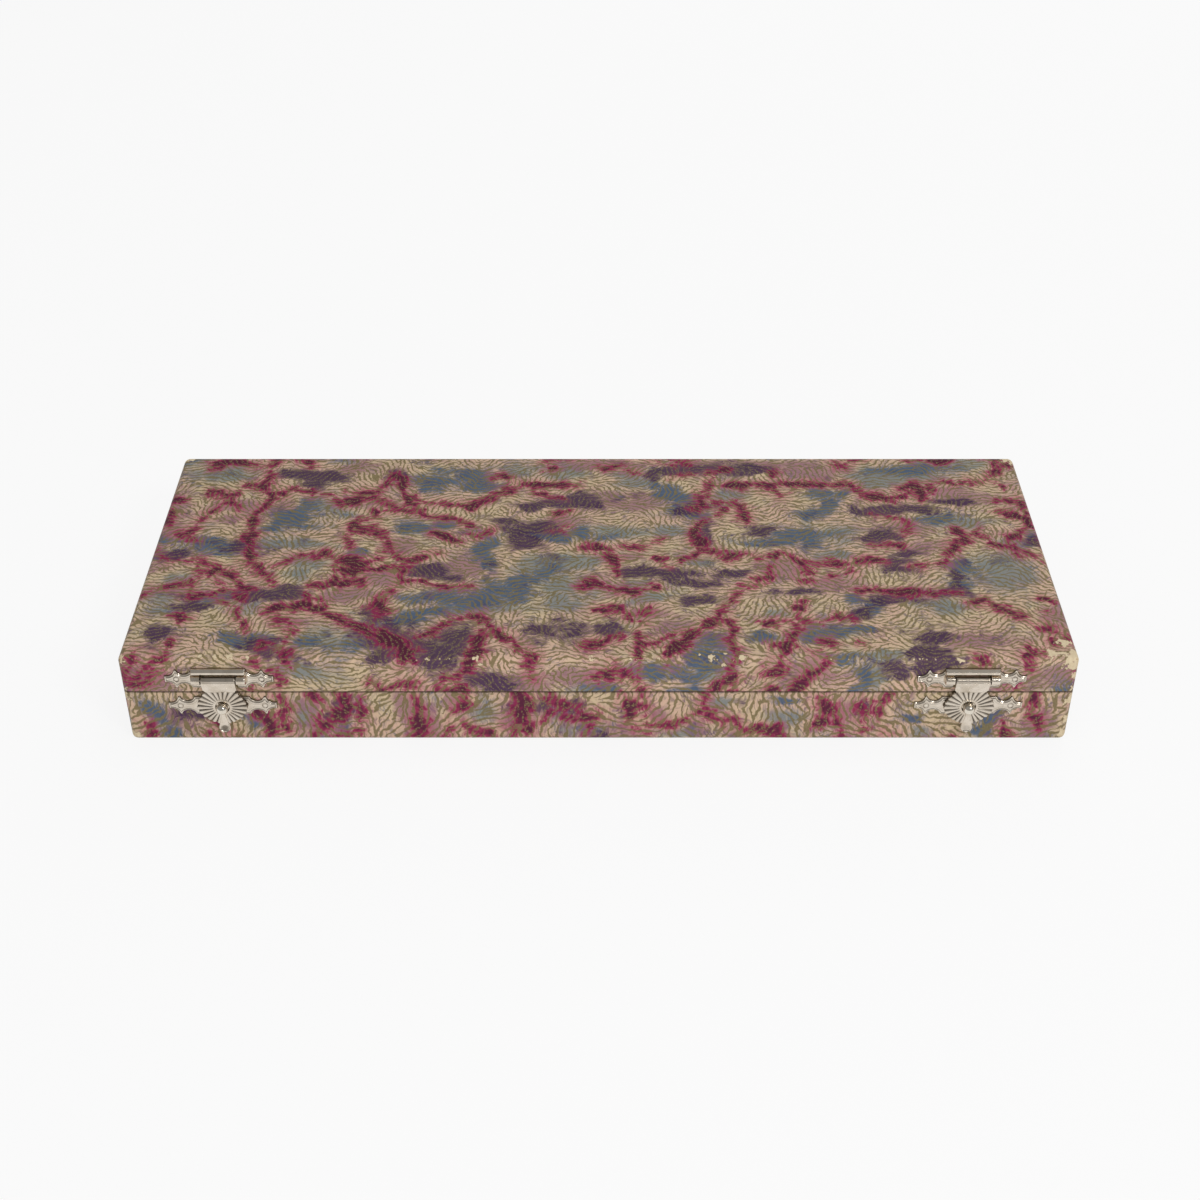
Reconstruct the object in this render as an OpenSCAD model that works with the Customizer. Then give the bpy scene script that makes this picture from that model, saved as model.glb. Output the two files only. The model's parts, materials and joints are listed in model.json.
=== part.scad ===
// Flat hinged chest for twelve teaspoons: a paper-covered wooden case with a lined
// interior, two notched racks, two back hinges and two stamped front latches.
// Millimetres. +X is the chest's right, +Y its back, +Z up. The origin is the
// middle of the underside.

/* [Case] */
// Outside width, side to side
box_w = 400; // [380:1:460]
// Outside depth, front to back
box_d = 158; // [140:1:200]
// Height of the base, table to rim
base_h = 26.2; // [25:0.1:36]
// Height of the lid, rim to top
lid_h = 17.5; // [17:0.1:28]
// Gap between the two rims when shut
seam_gap = 0.3; // [0.2:0.05:0.5]
// Thickness of the walls of the base
wall = 7; // [6.6:0.1:9]
// Thickness of the bottom board
bottom_board_t = 3; // [2:0.1:4]
// Thickness of the top board
top_board_t = 3; // [2:0.1:4]
// Thickness of the covering paper and its glue
paper_t = 0.4; // [0.3:0.05:0.6]
// Radius of the upright corners
corner_r = 3; // [2:0.1:5]
// Radius of the top edges of the lid
lid_edge_r = 2.6; // [1:0.1:4]
// Radius of the bottom edges of the base
base_edge_r = 2.2; // [1:0.1:4]
// Width of the paper turned under the base
turn_under = 14; // [8:1:24]

/* [Lining] */
// Thickness of the collar strips in the base
collar_t = 1.6; // [1.2:0.1:2.4]
// Height of the collar above the rim
collar_rise = 3.4; // [2:0.1:5]
// Clearance between the collar and the lid
collar_gap = 0.5; // [0.4:0.05:0.8]
// Thickness of the strips lining the lid's walls
strip_t = 0.9; // [0.6:0.1:1.4]
// Thickness of the floor pads at their edges
floor_pad_edge = 1.2; // [0.8:0.1:2]
// Extra thickness of the floor pads in the middle
floor_pad_crown = 1.2; // [0.4:0.1:2]
// Thickness of the lid pad at its edges
lid_pad_edge = 1.6; // [1:0.1:2.4]
// Extra thickness of the lid pad in the middle
lid_pad_crown = 3.2; // [1:0.1:4]
// How far the sides of a pad draw in between its corners
pad_draw = 0.8; // [0.2:0.1:1.6]

/* [Racks] */
// Number of teaspoons that the racks hold
spoon_count = 12; // [8:1:14]
// Height of the racks
rack_h = 14; // [12:0.1:18]
// Front-to-back size of the handle rack
handle_rack_t = 10; // [8:0.5:16]
// Front-to-back size of the bowl rack
bowl_rack_t = 12; // [8:0.5:16]
// Room in front of the handle rack
handle_room = 24; // [16:0.5:32]
// Room behind the bowl rack
bowl_room = 28; // [18:0.5:32]
// Width of a notch for a handle
handle_notch_w = 10; // [8:0.1:14]
// Depth of a notch for a handle
handle_notch_d = 8; // [7.2:0.1:9.5]
// Width of a notch for a bowl
bowl_notch_w = 22; // [19:0.1:23]
// Depth of a notch for a bowl
bowl_notch_d = 8; // [6:0.1:9.4]

/* [Hinges] */
// Distance of each hinge's middle from its end of the chest
hinge_in = 70; // [40:1:110]
// Length of a hinge
hinge_len = 30; // [24:1:44]
// Number of knuckles in a hinge, an odd number
knuckle_count = 5; // [3:2:7]
// Gap at each end of a knuckle
knuckle_gap = 0.1; // [0.05:0.05:0.3]
// Thickness of a hinge leaf
leaf_t = 0.8; // [0.6:0.1:1.2]
// Depth of a leaf in front of the hinge's axis
leaf_d = 4.2; // [3.9:0.1:4.3]
// Outside radius of the knuckles
knuckle_r = 1.7; // [1.5:0.05:1.8]
// Radius of the hinge pin
hinge_pin_r = 0.8; // [0.5:0.05:1]
// Distance of the axis in front of the back face
hinge_setback = 2.2; // [1.8:0.1:2.4]
// Angle at which the two bevelled back rims would meet
stop_angle = 102; // [96:1:110]

/* [Latches] */
// Distance of the left latch's middle from the left end
latch_left_in = 41.5; // [30:0.5:80]
// Distance of the right latch's middle from the right end
latch_right_in = 44; // [30:0.5:80]
// Width of a latch plate, tip to tip
plate_w = 45.6; // [44:0.1:52]
// Height of a latch plate
plate_h = 9.2; // [9:0.1:9.6]
// Thickness of the sheet metal of the plates
plate_t = 0.6; // [0.4:0.05:0.8]
// Height of the raised field inside the plate's border
field_t = 0.3; // [0.2:0.05:0.4]
// Width of the low border round the raised field
border = 0.7; // [0.5:0.05:0.9]
// Height of the lid plate's middle line above the lid's rim
plate_rise = 7.4; // [7:0.1:9]
// Drop of the keeper's middle line below the base's rim
keeper_drop = 6.5; // [5.5:0.1:7]
// Width of the raised middle of the lid plate
housing_w = 22.8; // [22:0.1:23.4]
// Rise of the latch's axis above the lid plate's middle line
barrel_rise = 0.4; // [0.2:0.1:0.6]
// Distance of the latch's axis in front of the case
barrel_out = 2.2; // [2.1:0.05:2.5]
// Outside radius of the hasp's barrel
barrel_r = 1.75; // [1.6:0.05:1.85]
// Length of the hasp's barrel
barrel_len = 14.2; // [13:0.1:15.4]
// Radius of the wire pin in the hasp's barrel
hasp_pin_r = 0.6; // [0.4:0.05:0.9]
// Thickness of the hasp's sheet metal
hasp_t = 0.7; // [0.6:0.05:0.8]
// Clearance between the hasp and the keeper
hasp_gap = 0.8; // [0.2:0.05:1]
// Width of the hasp's fan
fan_w = 21.4; // [20:0.1:25]
// Height of the fan's rays above the middle of its hole
fan_high = 8.4; // [8:0.1:9]
// Depth of the fan below the middle of its hole
fan_low = 8.9; // [8.4:0.1:10.6]
// Number of rays stamped in the fan
fan_rays = 24; // [16:4:32]
// Radius of the hole in the fan
hole_r = 3; // [2.9:0.05:3.4]
// Clearance between the ball and the rim of the hole
ball_gap = 0.5; // [0.45:0.05:0.8]
// Width of the finger tab below the fan
tab_w = 4.9; // [4.4:0.1:6.4]
// Reach of the finger tab below the middle of the hole
tab_reach = 12.4; // [11.8:0.1:15]
// How far the finger tab's lip bends outward
tab_lift = 1.2; // [0.6:0.1:1.6]

/* [Nails] */
// Radius of the latch nails
nail_r = 0.55; // [0.4:0.05:0.7]
// Radius of the round heads of the latch nails
nail_head_r = 1.1; // [0.9:0.05:1.2]
// Depth of a latch nail behind the face of the case
nail_depth = 5; // [3:0.1:6]
// Radius of the hinge nails
hinge_nail_r = 0.6; // [0.4:0.05:0.7]
// Radius of the flush heads of the hinge nails
hinge_head_r = 1; // [0.9:0.05:1.1]
// Depth of a hinge nail below its leaf
hinge_nail_depth = 5; // [3:0.1:6]
// Clearance round a pin, a nail or a stud in its hole
pin_fit = 0.05; // [0.02:0.01:0.1]

/* [Hidden] */
$fn = 48;

// Heights of the case
rim_z = base_h;
hinge_z = base_h + seam_gap / 2;
lid_z = base_h + seam_gap;
top_z = lid_z + lid_h;
floor_z = paper_t + bottom_board_t;
ceiling_z = top_z - paper_t - top_board_t;
collar_top_z = rim_z + collar_rise;

// Half sizes of the room inside the walls and inside the collar
room_x = box_w / 2 - paper_t - wall;
room_y = box_d / 2 - paper_t - wall;
inner_x = room_x - collar_t;
inner_y = room_y - collar_t;
lid_room_x = room_x + collar_gap;
lid_room_y = room_y + collar_gap;

// Clearances of loose and glued pieces
lay_gap = 0.3;
glue_gap = 0.05;
far = 40;

// Hinge
back_y = box_d / 2;
hinge_x = box_w / 2 - hinge_in;
hinge_y = back_y - hinge_setback;
hinge_nail_y = hinge_y - 3;
hinge_nail_x = hinge_len * 0.3;
head_t = 0.5;
knuckle_room = 0.25;

// Racks
rack_len = 2 * (inner_x - lay_gap);
spoon_pitch = rack_len / spoon_count;
handle_rack_y0 = -inner_y + handle_room;
handle_rack_y1 = handle_rack_y0 + handle_rack_t;
bowl_rack_y1 = inner_y - bowl_room;
bowl_rack_y0 = bowl_rack_y1 - bowl_rack_t;

// Latches
front_y = -box_d / 2;
latch_left = box_w / 2 - latch_left_in;
latch_right = box_w / 2 - latch_right_in;
plate_z = lid_z + plate_rise;
keeper_z = rim_z - keeper_drop;
barrel_z = plate_z + barrel_rise;
nail_x = plate_w / 2 - 5;
plate_face = plate_t + field_t;
fan_back = plate_face + hasp_gap;
fan_face = fan_back + hasp_t;
ball_r = hole_r - ball_gap;
ball_out = plate_face + 0.84 * ball_r;
stud_r = 1.2;
stud_depth = 5;
cut_gap = 0.5;
slot_w = barrel_len + 2 * cut_gap;
knuckle_out_r = barrel_out - 0.1;
flange_high = plate_z + plate_h / 2 + 0.8;
flange_low = flange_high - 1.9;
flange_out = 2.3;

// Shared shapes

module along_x(length) {
    rotate([90, 0, 90]) linear_extrude(length, center = true) children();
}

module along_y(length) {
    rotate([90, 0, 0]) linear_extrude(length, center = true) children();
}

// A flat outline drawn in X and Z, given a thickness towards the front
module out_front(thickness) {
    rotate([90, 0, 0]) linear_extrude(thickness) children();
}

module rod_x(radius, length) {
    rotate([0, 90, 0]) cylinder(r = radius, h = length, center = true);
}

// A rectangle whose two lower and two upper corners are rounded by themselves
module rounded_frame(w, y0, y1, low_r, high_r) {
    difference() {
        translate([-w / 2, y0]) square([w, y1 - y0]);
        for (side = [-1, 1]) {
            if (low_r > 0) corner_waste([side * w / 2, y0], [side, -1], low_r);
            if (high_r > 0) corner_waste([side * w / 2, y1], [side, 1], high_r);
        }
    }
}

// What a round corner leaves outside it, at a corner that points along dir
module corner_waste(at, dir, r) {
    translate([at.x - dir.x * r, at.y - dir.y * r]) difference() {
        translate([dir.x > 0 ? 0 : -2 * r, dir.y > 0 ? 0 : -2 * r]) square(2 * r);
        circle(r);
    }
}

// A block with rounded upright corners and rounded lower or upper edges
module soft_block(w, d, z0, z1, r, low_r, high_r) {
    intersection() {
        translate([0, 0, z0]) linear_extrude(z1 - z0) rounded_frame(w, -d / 2, d / 2, r, r);
        along_y(2 * box_d) rounded_frame(w, z0, z1, low_r, high_r);
        along_x(2 * box_w) rounded_frame(d, z0, z1, low_r, high_r);
    }
}

// A block from corner to corner
module span(low, high) {
    translate(low) cube(high - low);
}

// The bevel along the back rim, cut away above the base (up = -1) or below the lid (up = 1)
module back_bevel(up, inset) {
    half = stop_angle / 2;
    shift = inset / cos(half);
    along_x(2 * box_w) polygon([
        [hinge_y, hinge_z + up * shift],
        [hinge_y + far, hinge_z + up * (shift + far * tan(half))],
        [hinge_y + far, hinge_z - up * far],
        [hinge_y, hinge_z - up * far],
    ]);
}

// Room for the knuckles and one leaf of each hinge
module hinge_pockets(leaf_low_z) {
    for (side = [-1, 1]) translate([side * hinge_x, 0, 0]) {
        translate([0, hinge_y, hinge_z]) rod_x(knuckle_r + knuckle_room, hinge_len + 2 * knuckle_room);
        span([-hinge_len / 2 - pin_fit, hinge_y - leaf_d - pin_fit, leaf_low_z],
             [hinge_len / 2 + pin_fit, hinge_y, leaf_low_z + leaf_t + 2 * pin_fit + paper_t]);
    }
}

module at_latches() {
    translate([-latch_left, front_y, 0]) children();
    translate([latch_right, front_y, 0]) children();
}

// Nail holes of both plates, and the studs' holes, through paper and wall
module latch_holes(z, with_stud) {
    at_latches() {
        for (side = [-1, 1]) translate([side * nail_x, -1, z]) rotate([-90, 0, 0])
            cylinder(r = nail_r + pin_fit, h = nail_depth + 1 + pin_fit);
        if (with_stud) translate([0, -1, z]) rotate([-90, 0, 0])
            cylinder(r = stud_r + pin_fit, h = stud_depth + 1 + pin_fit);
    }
}

module hinge_nail_places() {
    for (side = [-1, 1], end = [-1, 1])
        translate([side * hinge_x + end * hinge_nail_x, hinge_nail_y, hinge_z]) children();
}

// Case of the base

module base_core() {
    difference() {
        soft_block(box_w - 2 * paper_t, box_d - 2 * paper_t, paper_t, rim_z - paper_t,
                   corner_r - paper_t, base_edge_r - paper_t, 0);
        back_bevel(-1, paper_t);
        hinge_pockets(rim_z - leaf_t - 2 * pin_fit);
        latch_holes(keeper_z, true);
        hinge_nail_places() translate([0, 0, -leaf_t - hinge_nail_depth - 1])
            cylinder(r = hinge_nail_r + pin_fit, h = far);
    }
}

module base_bottom_board() {
    color("#b58f5f") intersection() {
        base_core();
        span([-box_w, -box_d, 0], [box_w, box_d, floor_z]);
    }
}

// One wall of the base, cut from the core between two heights
module base_wall(low, high) {
    color("#c39b68") intersection() {
        base_core();
        span([low.x, low.y, floor_z], [high.x, high.y, rim_z]);
    }
}

module base_front_wall() base_wall([-box_w, -box_d], [box_w, -room_y]);

module base_back_wall() base_wall([-box_w, room_y], [box_w, box_d]);

module base_left_wall() base_wall([-box_w, -room_y], [-room_x, room_y]);

module base_right_wall() base_wall([room_x, -room_y], [box_w, room_y]);

module base_cover_paper() {
    color("#8d7468") difference() {
        soft_block(box_w, box_d, 0, rim_z, corner_r, base_edge_r, 0);
        difference() {
            soft_block(box_w - 2 * paper_t, box_d - 2 * paper_t, paper_t, rim_z - paper_t,
                       corner_r - paper_t, base_edge_r - paper_t, 0);
            back_bevel(-1, paper_t);
        }
        span([-room_x, -room_y, floor_z], [room_x, room_y, far]);
        span([-box_w / 2 + turn_under, -box_d / 2 + turn_under, -1],
             [box_w / 2 - turn_under, box_d / 2 - turn_under, floor_z]);
        back_bevel(-1, 0);
        hinge_pockets(rim_z - leaf_t - 2 * pin_fit);
        latch_holes(keeper_z, true);
    }
}

module base_underside_sheet() {
    edge = turn_under + glue_gap;
    color("#6d5a52") span([-box_w / 2 + edge, -box_d / 2 + edge, 0],
                          [box_w / 2 - edge, box_d / 2 - edge, paper_t]);
}

// Case of the lid

module lid_core() {
    difference() {
        soft_block(box_w - 2 * paper_t, box_d - 2 * paper_t, lid_z + paper_t, top_z - paper_t,
                   corner_r - paper_t, 0, lid_edge_r - paper_t);
        back_bevel(1, paper_t);
        hinge_pockets(lid_z - paper_t);
        latch_holes(plate_z, false);
        hinge_nail_places() translate([0, 0, leaf_t + hinge_nail_depth + 1 - far])
            cylinder(r = hinge_nail_r + pin_fit, h = far);
    }
}

module lid_top_board() {
    color("#b58f5f") intersection() {
        lid_core();
        span([-box_w, -box_d, ceiling_z], [box_w, box_d, top_z]);
    }
}

// One wall of the lid, cut from the core between the rim and the top board
module lid_wall(low, high) {
    color("#c39b68") intersection() {
        lid_core();
        span([low.x, low.y, lid_z], [high.x, high.y, ceiling_z]);
    }
}

module lid_front_wall() lid_wall([-box_w, -box_d], [box_w, -lid_room_y]);

module lid_back_wall() lid_wall([-box_w, lid_room_y], [box_w, box_d]);

module lid_left_wall() lid_wall([-box_w, -lid_room_y], [-lid_room_x, lid_room_y]);

module lid_right_wall() lid_wall([lid_room_x, -lid_room_y], [box_w, lid_room_y]);

module lid_cover_paper() {
    color("#8d7468") difference() {
        soft_block(box_w, box_d, lid_z, top_z, corner_r, 0, lid_edge_r);
        difference() {
            soft_block(box_w - 2 * paper_t, box_d - 2 * paper_t, lid_z + paper_t, top_z - paper_t,
                       corner_r - paper_t, 0, lid_edge_r - paper_t);
            back_bevel(1, paper_t);
        }
        span([-lid_room_x, -lid_room_y, -1], [lid_room_x, lid_room_y, ceiling_z]);
        back_bevel(1, 0);
        hinge_pockets(lid_z - paper_t);
        latch_holes(plate_z, false);
    }
}

// Lining of the base

module collar_strip(low, high) {
    color("#e9dfc6") span([low.x, low.y, floor_z], [high.x, high.y, collar_top_z]);
}

module collar_front()
    collar_strip([-room_x + glue_gap, -room_y + glue_gap], [room_x - glue_gap, -inner_y]);

module collar_back()
    collar_strip([-room_x + glue_gap, inner_y], [room_x - glue_gap, room_y - glue_gap]);

module collar_left()
    collar_strip([-room_x + glue_gap, -inner_y + glue_gap], [-inner_x, inner_y - glue_gap]);

module collar_right()
    collar_strip([inner_x, -inner_y + glue_gap], [room_x - glue_gap, inner_y - glue_gap]);

// A stuffed pad from y0 to y1: its middle swells by crown, and its sides draw in
// between the corners. It grows towards up from the height z.
pad_nx = 24;
pad_ny = 10;

function pad_point(u, v, w, d, t) = [
    u * (w / 2 - pad_draw * (1 - v * v)),
    v * (d / 2 - pad_draw * (1 - u * u)),
    t,
];

function pad_swell(u, v, edge, crown) = edge + crown * (1 - pow(u, 4)) * (1 - pow(v, 4));

module pad(w, y0, y1, z, edge, crown, up) {
    row = pad_nx + 1;
    layer = row * (pad_ny + 1);
    grid = [for (j = [0:pad_ny], i = [0:pad_nx]) [2 * i / pad_nx - 1, 2 * j / pad_ny - 1]];
    points = concat(
        [for (g = grid) pad_point(g.x, g.y, w, y1 - y0, 0)],
        [for (g = grid) pad_point(g.x, g.y, w, y1 - y0, pad_swell(g.x, g.y, edge, crown))]
    );
    ring = concat(
        [for (i = [0:pad_nx - 1]) i],
        [for (j = [0:pad_ny - 1]) j * row + pad_nx],
        [for (i = [pad_nx:-1:1]) pad_ny * row + i],
        [for (j = [pad_ny:-1:1]) j * row]
    );
    count = len(ring);
    cells = [for (j = [0:pad_ny - 1], i = [0:pad_nx - 1]) j * row + i];
    faces = concat(
        [for (c = cells) [c, c + 1, c + row]],
        [for (c = cells) [c + 1, c + row + 1, c + row]],
        [for (c = cells) [layer + c, layer + c + row, layer + c + 1]],
        [for (c = cells) [layer + c + 1, layer + c + row, layer + c + row + 1]],
        [for (k = [0:count - 1]) [ring[k], layer + ring[k], ring[(k + 1) % count]]],
        [for (k = [0:count - 1]) [ring[(k + 1) % count], layer + ring[k], layer + ring[(k + 1) % count]]]
    );
    translate([0, (y0 + y1) / 2, z]) rotate([up ? 0 : 180, 0, 0]) polyhedron(points, faces);
}

module floor_pad(y0, y1) {
    color("#5b2740") pad(rack_len, y0 + lay_gap, y1 - lay_gap, floor_z, floor_pad_edge, floor_pad_crown, true);
}

module floor_pad_front() floor_pad(-inner_y, handle_rack_y0);

module floor_pad_middle() floor_pad(handle_rack_y1, bowl_rack_y0);

module floor_pad_back() floor_pad(bowl_rack_y1, inner_y);

// A notch open at the top: a half-round slot, or a flat arc where it is wider than deep
module notch(w, d) {
    if (d >= w / 2) {
        translate([-w / 2, rack_h - d + w / 2]) square([w, d]);
        translate([0, rack_h - d + w / 2]) circle(w / 2);
    } else {
        r = (w * w / 4 + d * d) / (2 * d);
        translate([0, rack_h - d + r]) circle(r);
    }
}

module rack(y0, y1, notch_w, notch_d) {
    color("#5b2740") translate([0, (y0 + y1) / 2, floor_z]) along_y(y1 - y0) difference() {
        translate([-rack_len / 2, 0]) square([rack_len, rack_h]);
        for (i = [0:spoon_count - 1])
            translate([(i - (spoon_count - 1) / 2) * spoon_pitch, 0]) notch(notch_w, notch_d);
    }
}

module handle_rack() rack(handle_rack_y0, handle_rack_y1, handle_notch_w, handle_notch_d);

module bowl_rack() rack(bowl_rack_y0, bowl_rack_y1, bowl_notch_w, bowl_notch_d);

// Lining of the lid

module lid_pad() {
    edge_x = lid_room_x - strip_t - lay_gap;
    edge_y = lid_room_y - strip_t - lay_gap;
    color("#e9dfc6") pad(2 * edge_x, -edge_y, edge_y, ceiling_z, lid_pad_edge, lid_pad_crown, false);
}

module lid_strip(low, high) {
    color("#e9dfc6") span([low.x, low.y, collar_top_z + 2 * lay_gap], [high.x, high.y, ceiling_z]);
}

module lid_strip_front()
    lid_strip([-lid_room_x + glue_gap, -lid_room_y + glue_gap],
              [lid_room_x - glue_gap, -lid_room_y + strip_t]);

module lid_strip_back()
    lid_strip([-lid_room_x + glue_gap, lid_room_y - strip_t],
              [lid_room_x - glue_gap, lid_room_y - glue_gap]);

module lid_strip_left()
    lid_strip([-lid_room_x + glue_gap, -lid_room_y + strip_t + glue_gap],
              [-lid_room_x + strip_t, lid_room_y - strip_t - glue_gap]);

module lid_strip_right()
    lid_strip([lid_room_x - strip_t, -lid_room_y + strip_t + glue_gap],
              [lid_room_x - glue_gap, lid_room_y - strip_t - glue_gap]);

// Back hinges

// The knuckles of one leaf: first is 0 for the base's leaf and 1 for the lid's
module knuckles(first, r, gap) {
    pitch = hinge_len / knuckle_count;
    for (k = [first:2:knuckle_count - 1])
        translate([(k - (knuckle_count - 1) / 2) * pitch, hinge_y, hinge_z]) rod_x(r, pitch - 2 * gap);
}

module hinge_leaf(first, z0, head_up) {
    color("#b0a58f") difference() {
        union() {
            difference() {
                span([-hinge_len / 2, hinge_y - leaf_d, z0], [hinge_len / 2, hinge_y, z0 + leaf_t]);
                knuckles(1 - first, knuckle_r + knuckle_room - pin_fit, -knuckle_gap);
            }
            knuckles(first, knuckle_r, knuckle_gap);
        }
        translate([0, hinge_y, hinge_z]) rod_x(hinge_pin_r + pin_fit, 2 * hinge_len);
        for (end = [-1, 1]) translate([end * hinge_nail_x, hinge_nail_y, z0]) {
            translate([0, 0, -1]) cylinder(r = hinge_nail_r + pin_fit, h = leaf_t + 2);
            translate([0, 0, head_up ? leaf_t - head_t : -1])
                cylinder(r = hinge_head_r + pin_fit, h = head_t + 1);
        }
    }
}

module base_hinge_leaf(side) translate([side * hinge_x, 0, 0]) hinge_leaf(0, rim_z - leaf_t, true);

module lid_hinge_leaf(side) translate([side * hinge_x, 0, 0]) hinge_leaf(1, lid_z, false);

module hinge_pin(side) {
    color("#a39a86") translate([side * hinge_x, hinge_y, hinge_z]) rod_x(hinge_pin_r, hinge_len);
}

module base_hinge_nails() {
    color("#a39a86") hinge_nail_places() translate([0, 0, -seam_gap / 2]) {
        translate([0, 0, -head_t]) cylinder(r = hinge_head_r, h = head_t);
        translate([0, 0, -leaf_t - hinge_nail_depth]) cylinder(r = hinge_nail_r, h = leaf_t + hinge_nail_depth);
    }
}

module lid_hinge_nails() {
    color("#a39a86") hinge_nail_places() translate([0, 0, seam_gap / 2]) {
        cylinder(r = hinge_head_r, h = head_t);
        cylinder(r = hinge_nail_r, h = leaf_t + hinge_nail_depth);
    }
}

// Front latches, each drawn about the middle of its place on the front face

bite_r = 3.2;
bite_in = 8.2;
bite_up = 1;
tip_bite_r = 3.35;
tip_bite_in = 1;
tip_bite_up = 0.3;

// The cusped outline of a plate, drawn in by inset
module plate_outline(inset) {
    difference() {
        square([plate_w - 2 * inset, plate_h - 2 * inset], center = true);
        for (sx = [-1, 1], sy = [-1, 1]) {
            translate([sx * (plate_w / 2 - bite_in), sy * (plate_h / 2 + bite_up)])
                circle(bite_r + inset);
            translate([sx * (plate_w / 2 - tip_bite_in), sy * (plate_h / 2 + tip_bite_up)])
                circle(tip_bite_r + inset);
        }
    }
}

module nail_bores(z) {
    for (side = [-1, 1]) translate([side * nail_x, -plate_face - 1, z]) rotate([-90, 0, 0])
        cylinder(r = nail_r + pin_fit, h = plate_face + 2);
}

module keeper_plate() {
    color("#b9b3a8") difference() {
        translate([0, 0, keeper_z]) {
            out_front(plate_t) plate_outline(0);
            out_front(plate_face) plate_outline(border);
        }
        nail_bores(keeper_z);
        translate([0, -plate_face - 1, keeper_z]) rotate([-90, 0, 0])
            cylinder(r = stud_r + pin_fit, h = plate_face + 2);
    }
}

// A ball on a shank, flattened where it sits on the keeper plate
module ball_stud() {
    color("#cfcac0") translate([0, 0, keeper_z]) rotate([90, 0, 0]) {
        intersection() {
            translate([0, 0, ball_out]) sphere(ball_r);
            translate([0, 0, plate_face]) cylinder(r = 2 * ball_r, h = ball_out + ball_r);
        }
        translate([0, 0, -stud_depth]) cylinder(r = stud_r, h = stud_depth + ball_out);
    }
}

// A pair of latch nails with round heads, on the middle line at height z
module latch_nails(z) {
    color("#cfcac0") for (side = [-1, 1]) translate([side * nail_x, -plate_face, z]) rotate([90, 0, 0]) {
        intersection() {
            sphere(nail_head_r);
            cylinder(r = 2 * nail_head_r, h = nail_head_r * 0.7);
        }
        translate([0, 0, -plate_face - nail_depth]) cylinder(r = nail_r, h = plate_face + nail_depth);
    }
}

// The raised top flange of the lid plate, a bent strip of sheet seen from the side
module flange_profile() {
    t = plate_t;
    polygon([
        [0, flange_high], [-0.9, flange_high], [-flange_out, flange_high - 1.2],
        [-flange_out, flange_low], [-flange_out + t, flange_low],
        [-flange_out + t, flange_high - 1.2 - t / 2], [-0.9 + t / 3, flange_high - t],
        [-t, flange_high - t], [-t, plate_z + plate_h / 2 - border], [0, plate_z + plate_h / 2 - border],
    ]);
}

// One knuckle of the lid plate: a domed bulge that joins the flange above and the sheet below
module plate_knuckle(side) {
    inner = slot_w / 2;
    outer = housing_w / 2;
    r = knuckle_out_r;
    translate([0, -barrel_out, barrel_z]) rotate([0, side * 90, 0]) rotate_extrude() intersection() {
        union() {
            translate([0, inner]) square([r, outer - inner]);
            translate([0, outer]) circle(r);
        }
        translate([0, inner]) square([r, outer - inner + r]);
    }
    translate([side * (inner + outer) / 2, 0, 0]) along_x(outer - inner) polygon([
        [0, barrel_z - r * 0.8], [-barrel_out, barrel_z - r * 0.8],
        [-barrel_out - r * 0.7, barrel_z], [-flange_out, flange_low + 0.2], [0, flange_low + 0.2],
    ]);
}

module lid_latch_plate() {
    pin_half = housing_w / 2 - 0.4;
    color("#b9b3a8") difference() {
        union() {
            translate([0, 0, plate_z]) {
                out_front(plate_t) plate_outline(0);
                out_front(plate_face) plate_outline(border);
            }
            along_x(housing_w) flange_profile();
            for (side = [-1, 1]) plate_knuckle(side);
        }
        span([-slot_w / 2, -far, barrel_z - 2 * knuckle_out_r - 1], [slot_w / 2, 1, flange_low]);
        translate([0, -barrel_out, barrel_z]) rod_x(hasp_pin_r + pin_fit, 2 * (pin_half + pin_fit));
        nail_bores(plate_z);
    }
}

module hasp_pin() {
    color("#a7a196") translate([0, -barrel_out, barrel_z]) rod_x(hasp_pin_r, housing_w - 0.8);
}

// Reach of the fan's edge from the hole at an angle, by a rounded rhombus with scallops.
// Its upper point lies in the neck.
fan_round = 1.65;
fan_scallop = 0.03;
fan_steps = 6;
fan_point = fan_high * 1.42;

function fan_edge(a) =
    let (rise = sin(a) > 0 ? fan_point : fan_low)
    pow(pow(abs(cos(a)) / (fan_w / 2), fan_round) + pow(abs(sin(a)) / rise, fan_round), -1 / fan_round)
    * (1 - fan_scallop * (1 - abs(cos(fan_rays * a / 2))));

neck_w = barrel_len * 0.88;
neck_bite_r = 1.4;
neck_z = fan_high;
barrel_h = barrel_z - keeper_z;

module hasp_outline() {
    steps = fan_rays * fan_steps;
    polygon([for (i = [0:steps - 1]) let (a = 360 * i / steps) fan_edge(a) * [cos(a), sin(a)]]);
    difference() {
        translate([-barrel_len / 2, neck_z - 1]) square([barrel_len, barrel_h - neck_z + 1]);
        for (side = [-1, 1]) {
            translate([side * (neck_w / 2 + neck_bite_r), neck_z]) circle(neck_bite_r);
            translate([side * neck_w / 2 - (side < 0 ? far : 0), neck_z - far])
                square([far, far]);
        }
    }
    translate([0, -tab_reach + tab_w / 2]) circle(tab_w / 2);
    translate([-tab_w / 2, -tab_reach + tab_w / 2]) square([tab_w, fan_low - tab_w / 2]);
}

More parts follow.
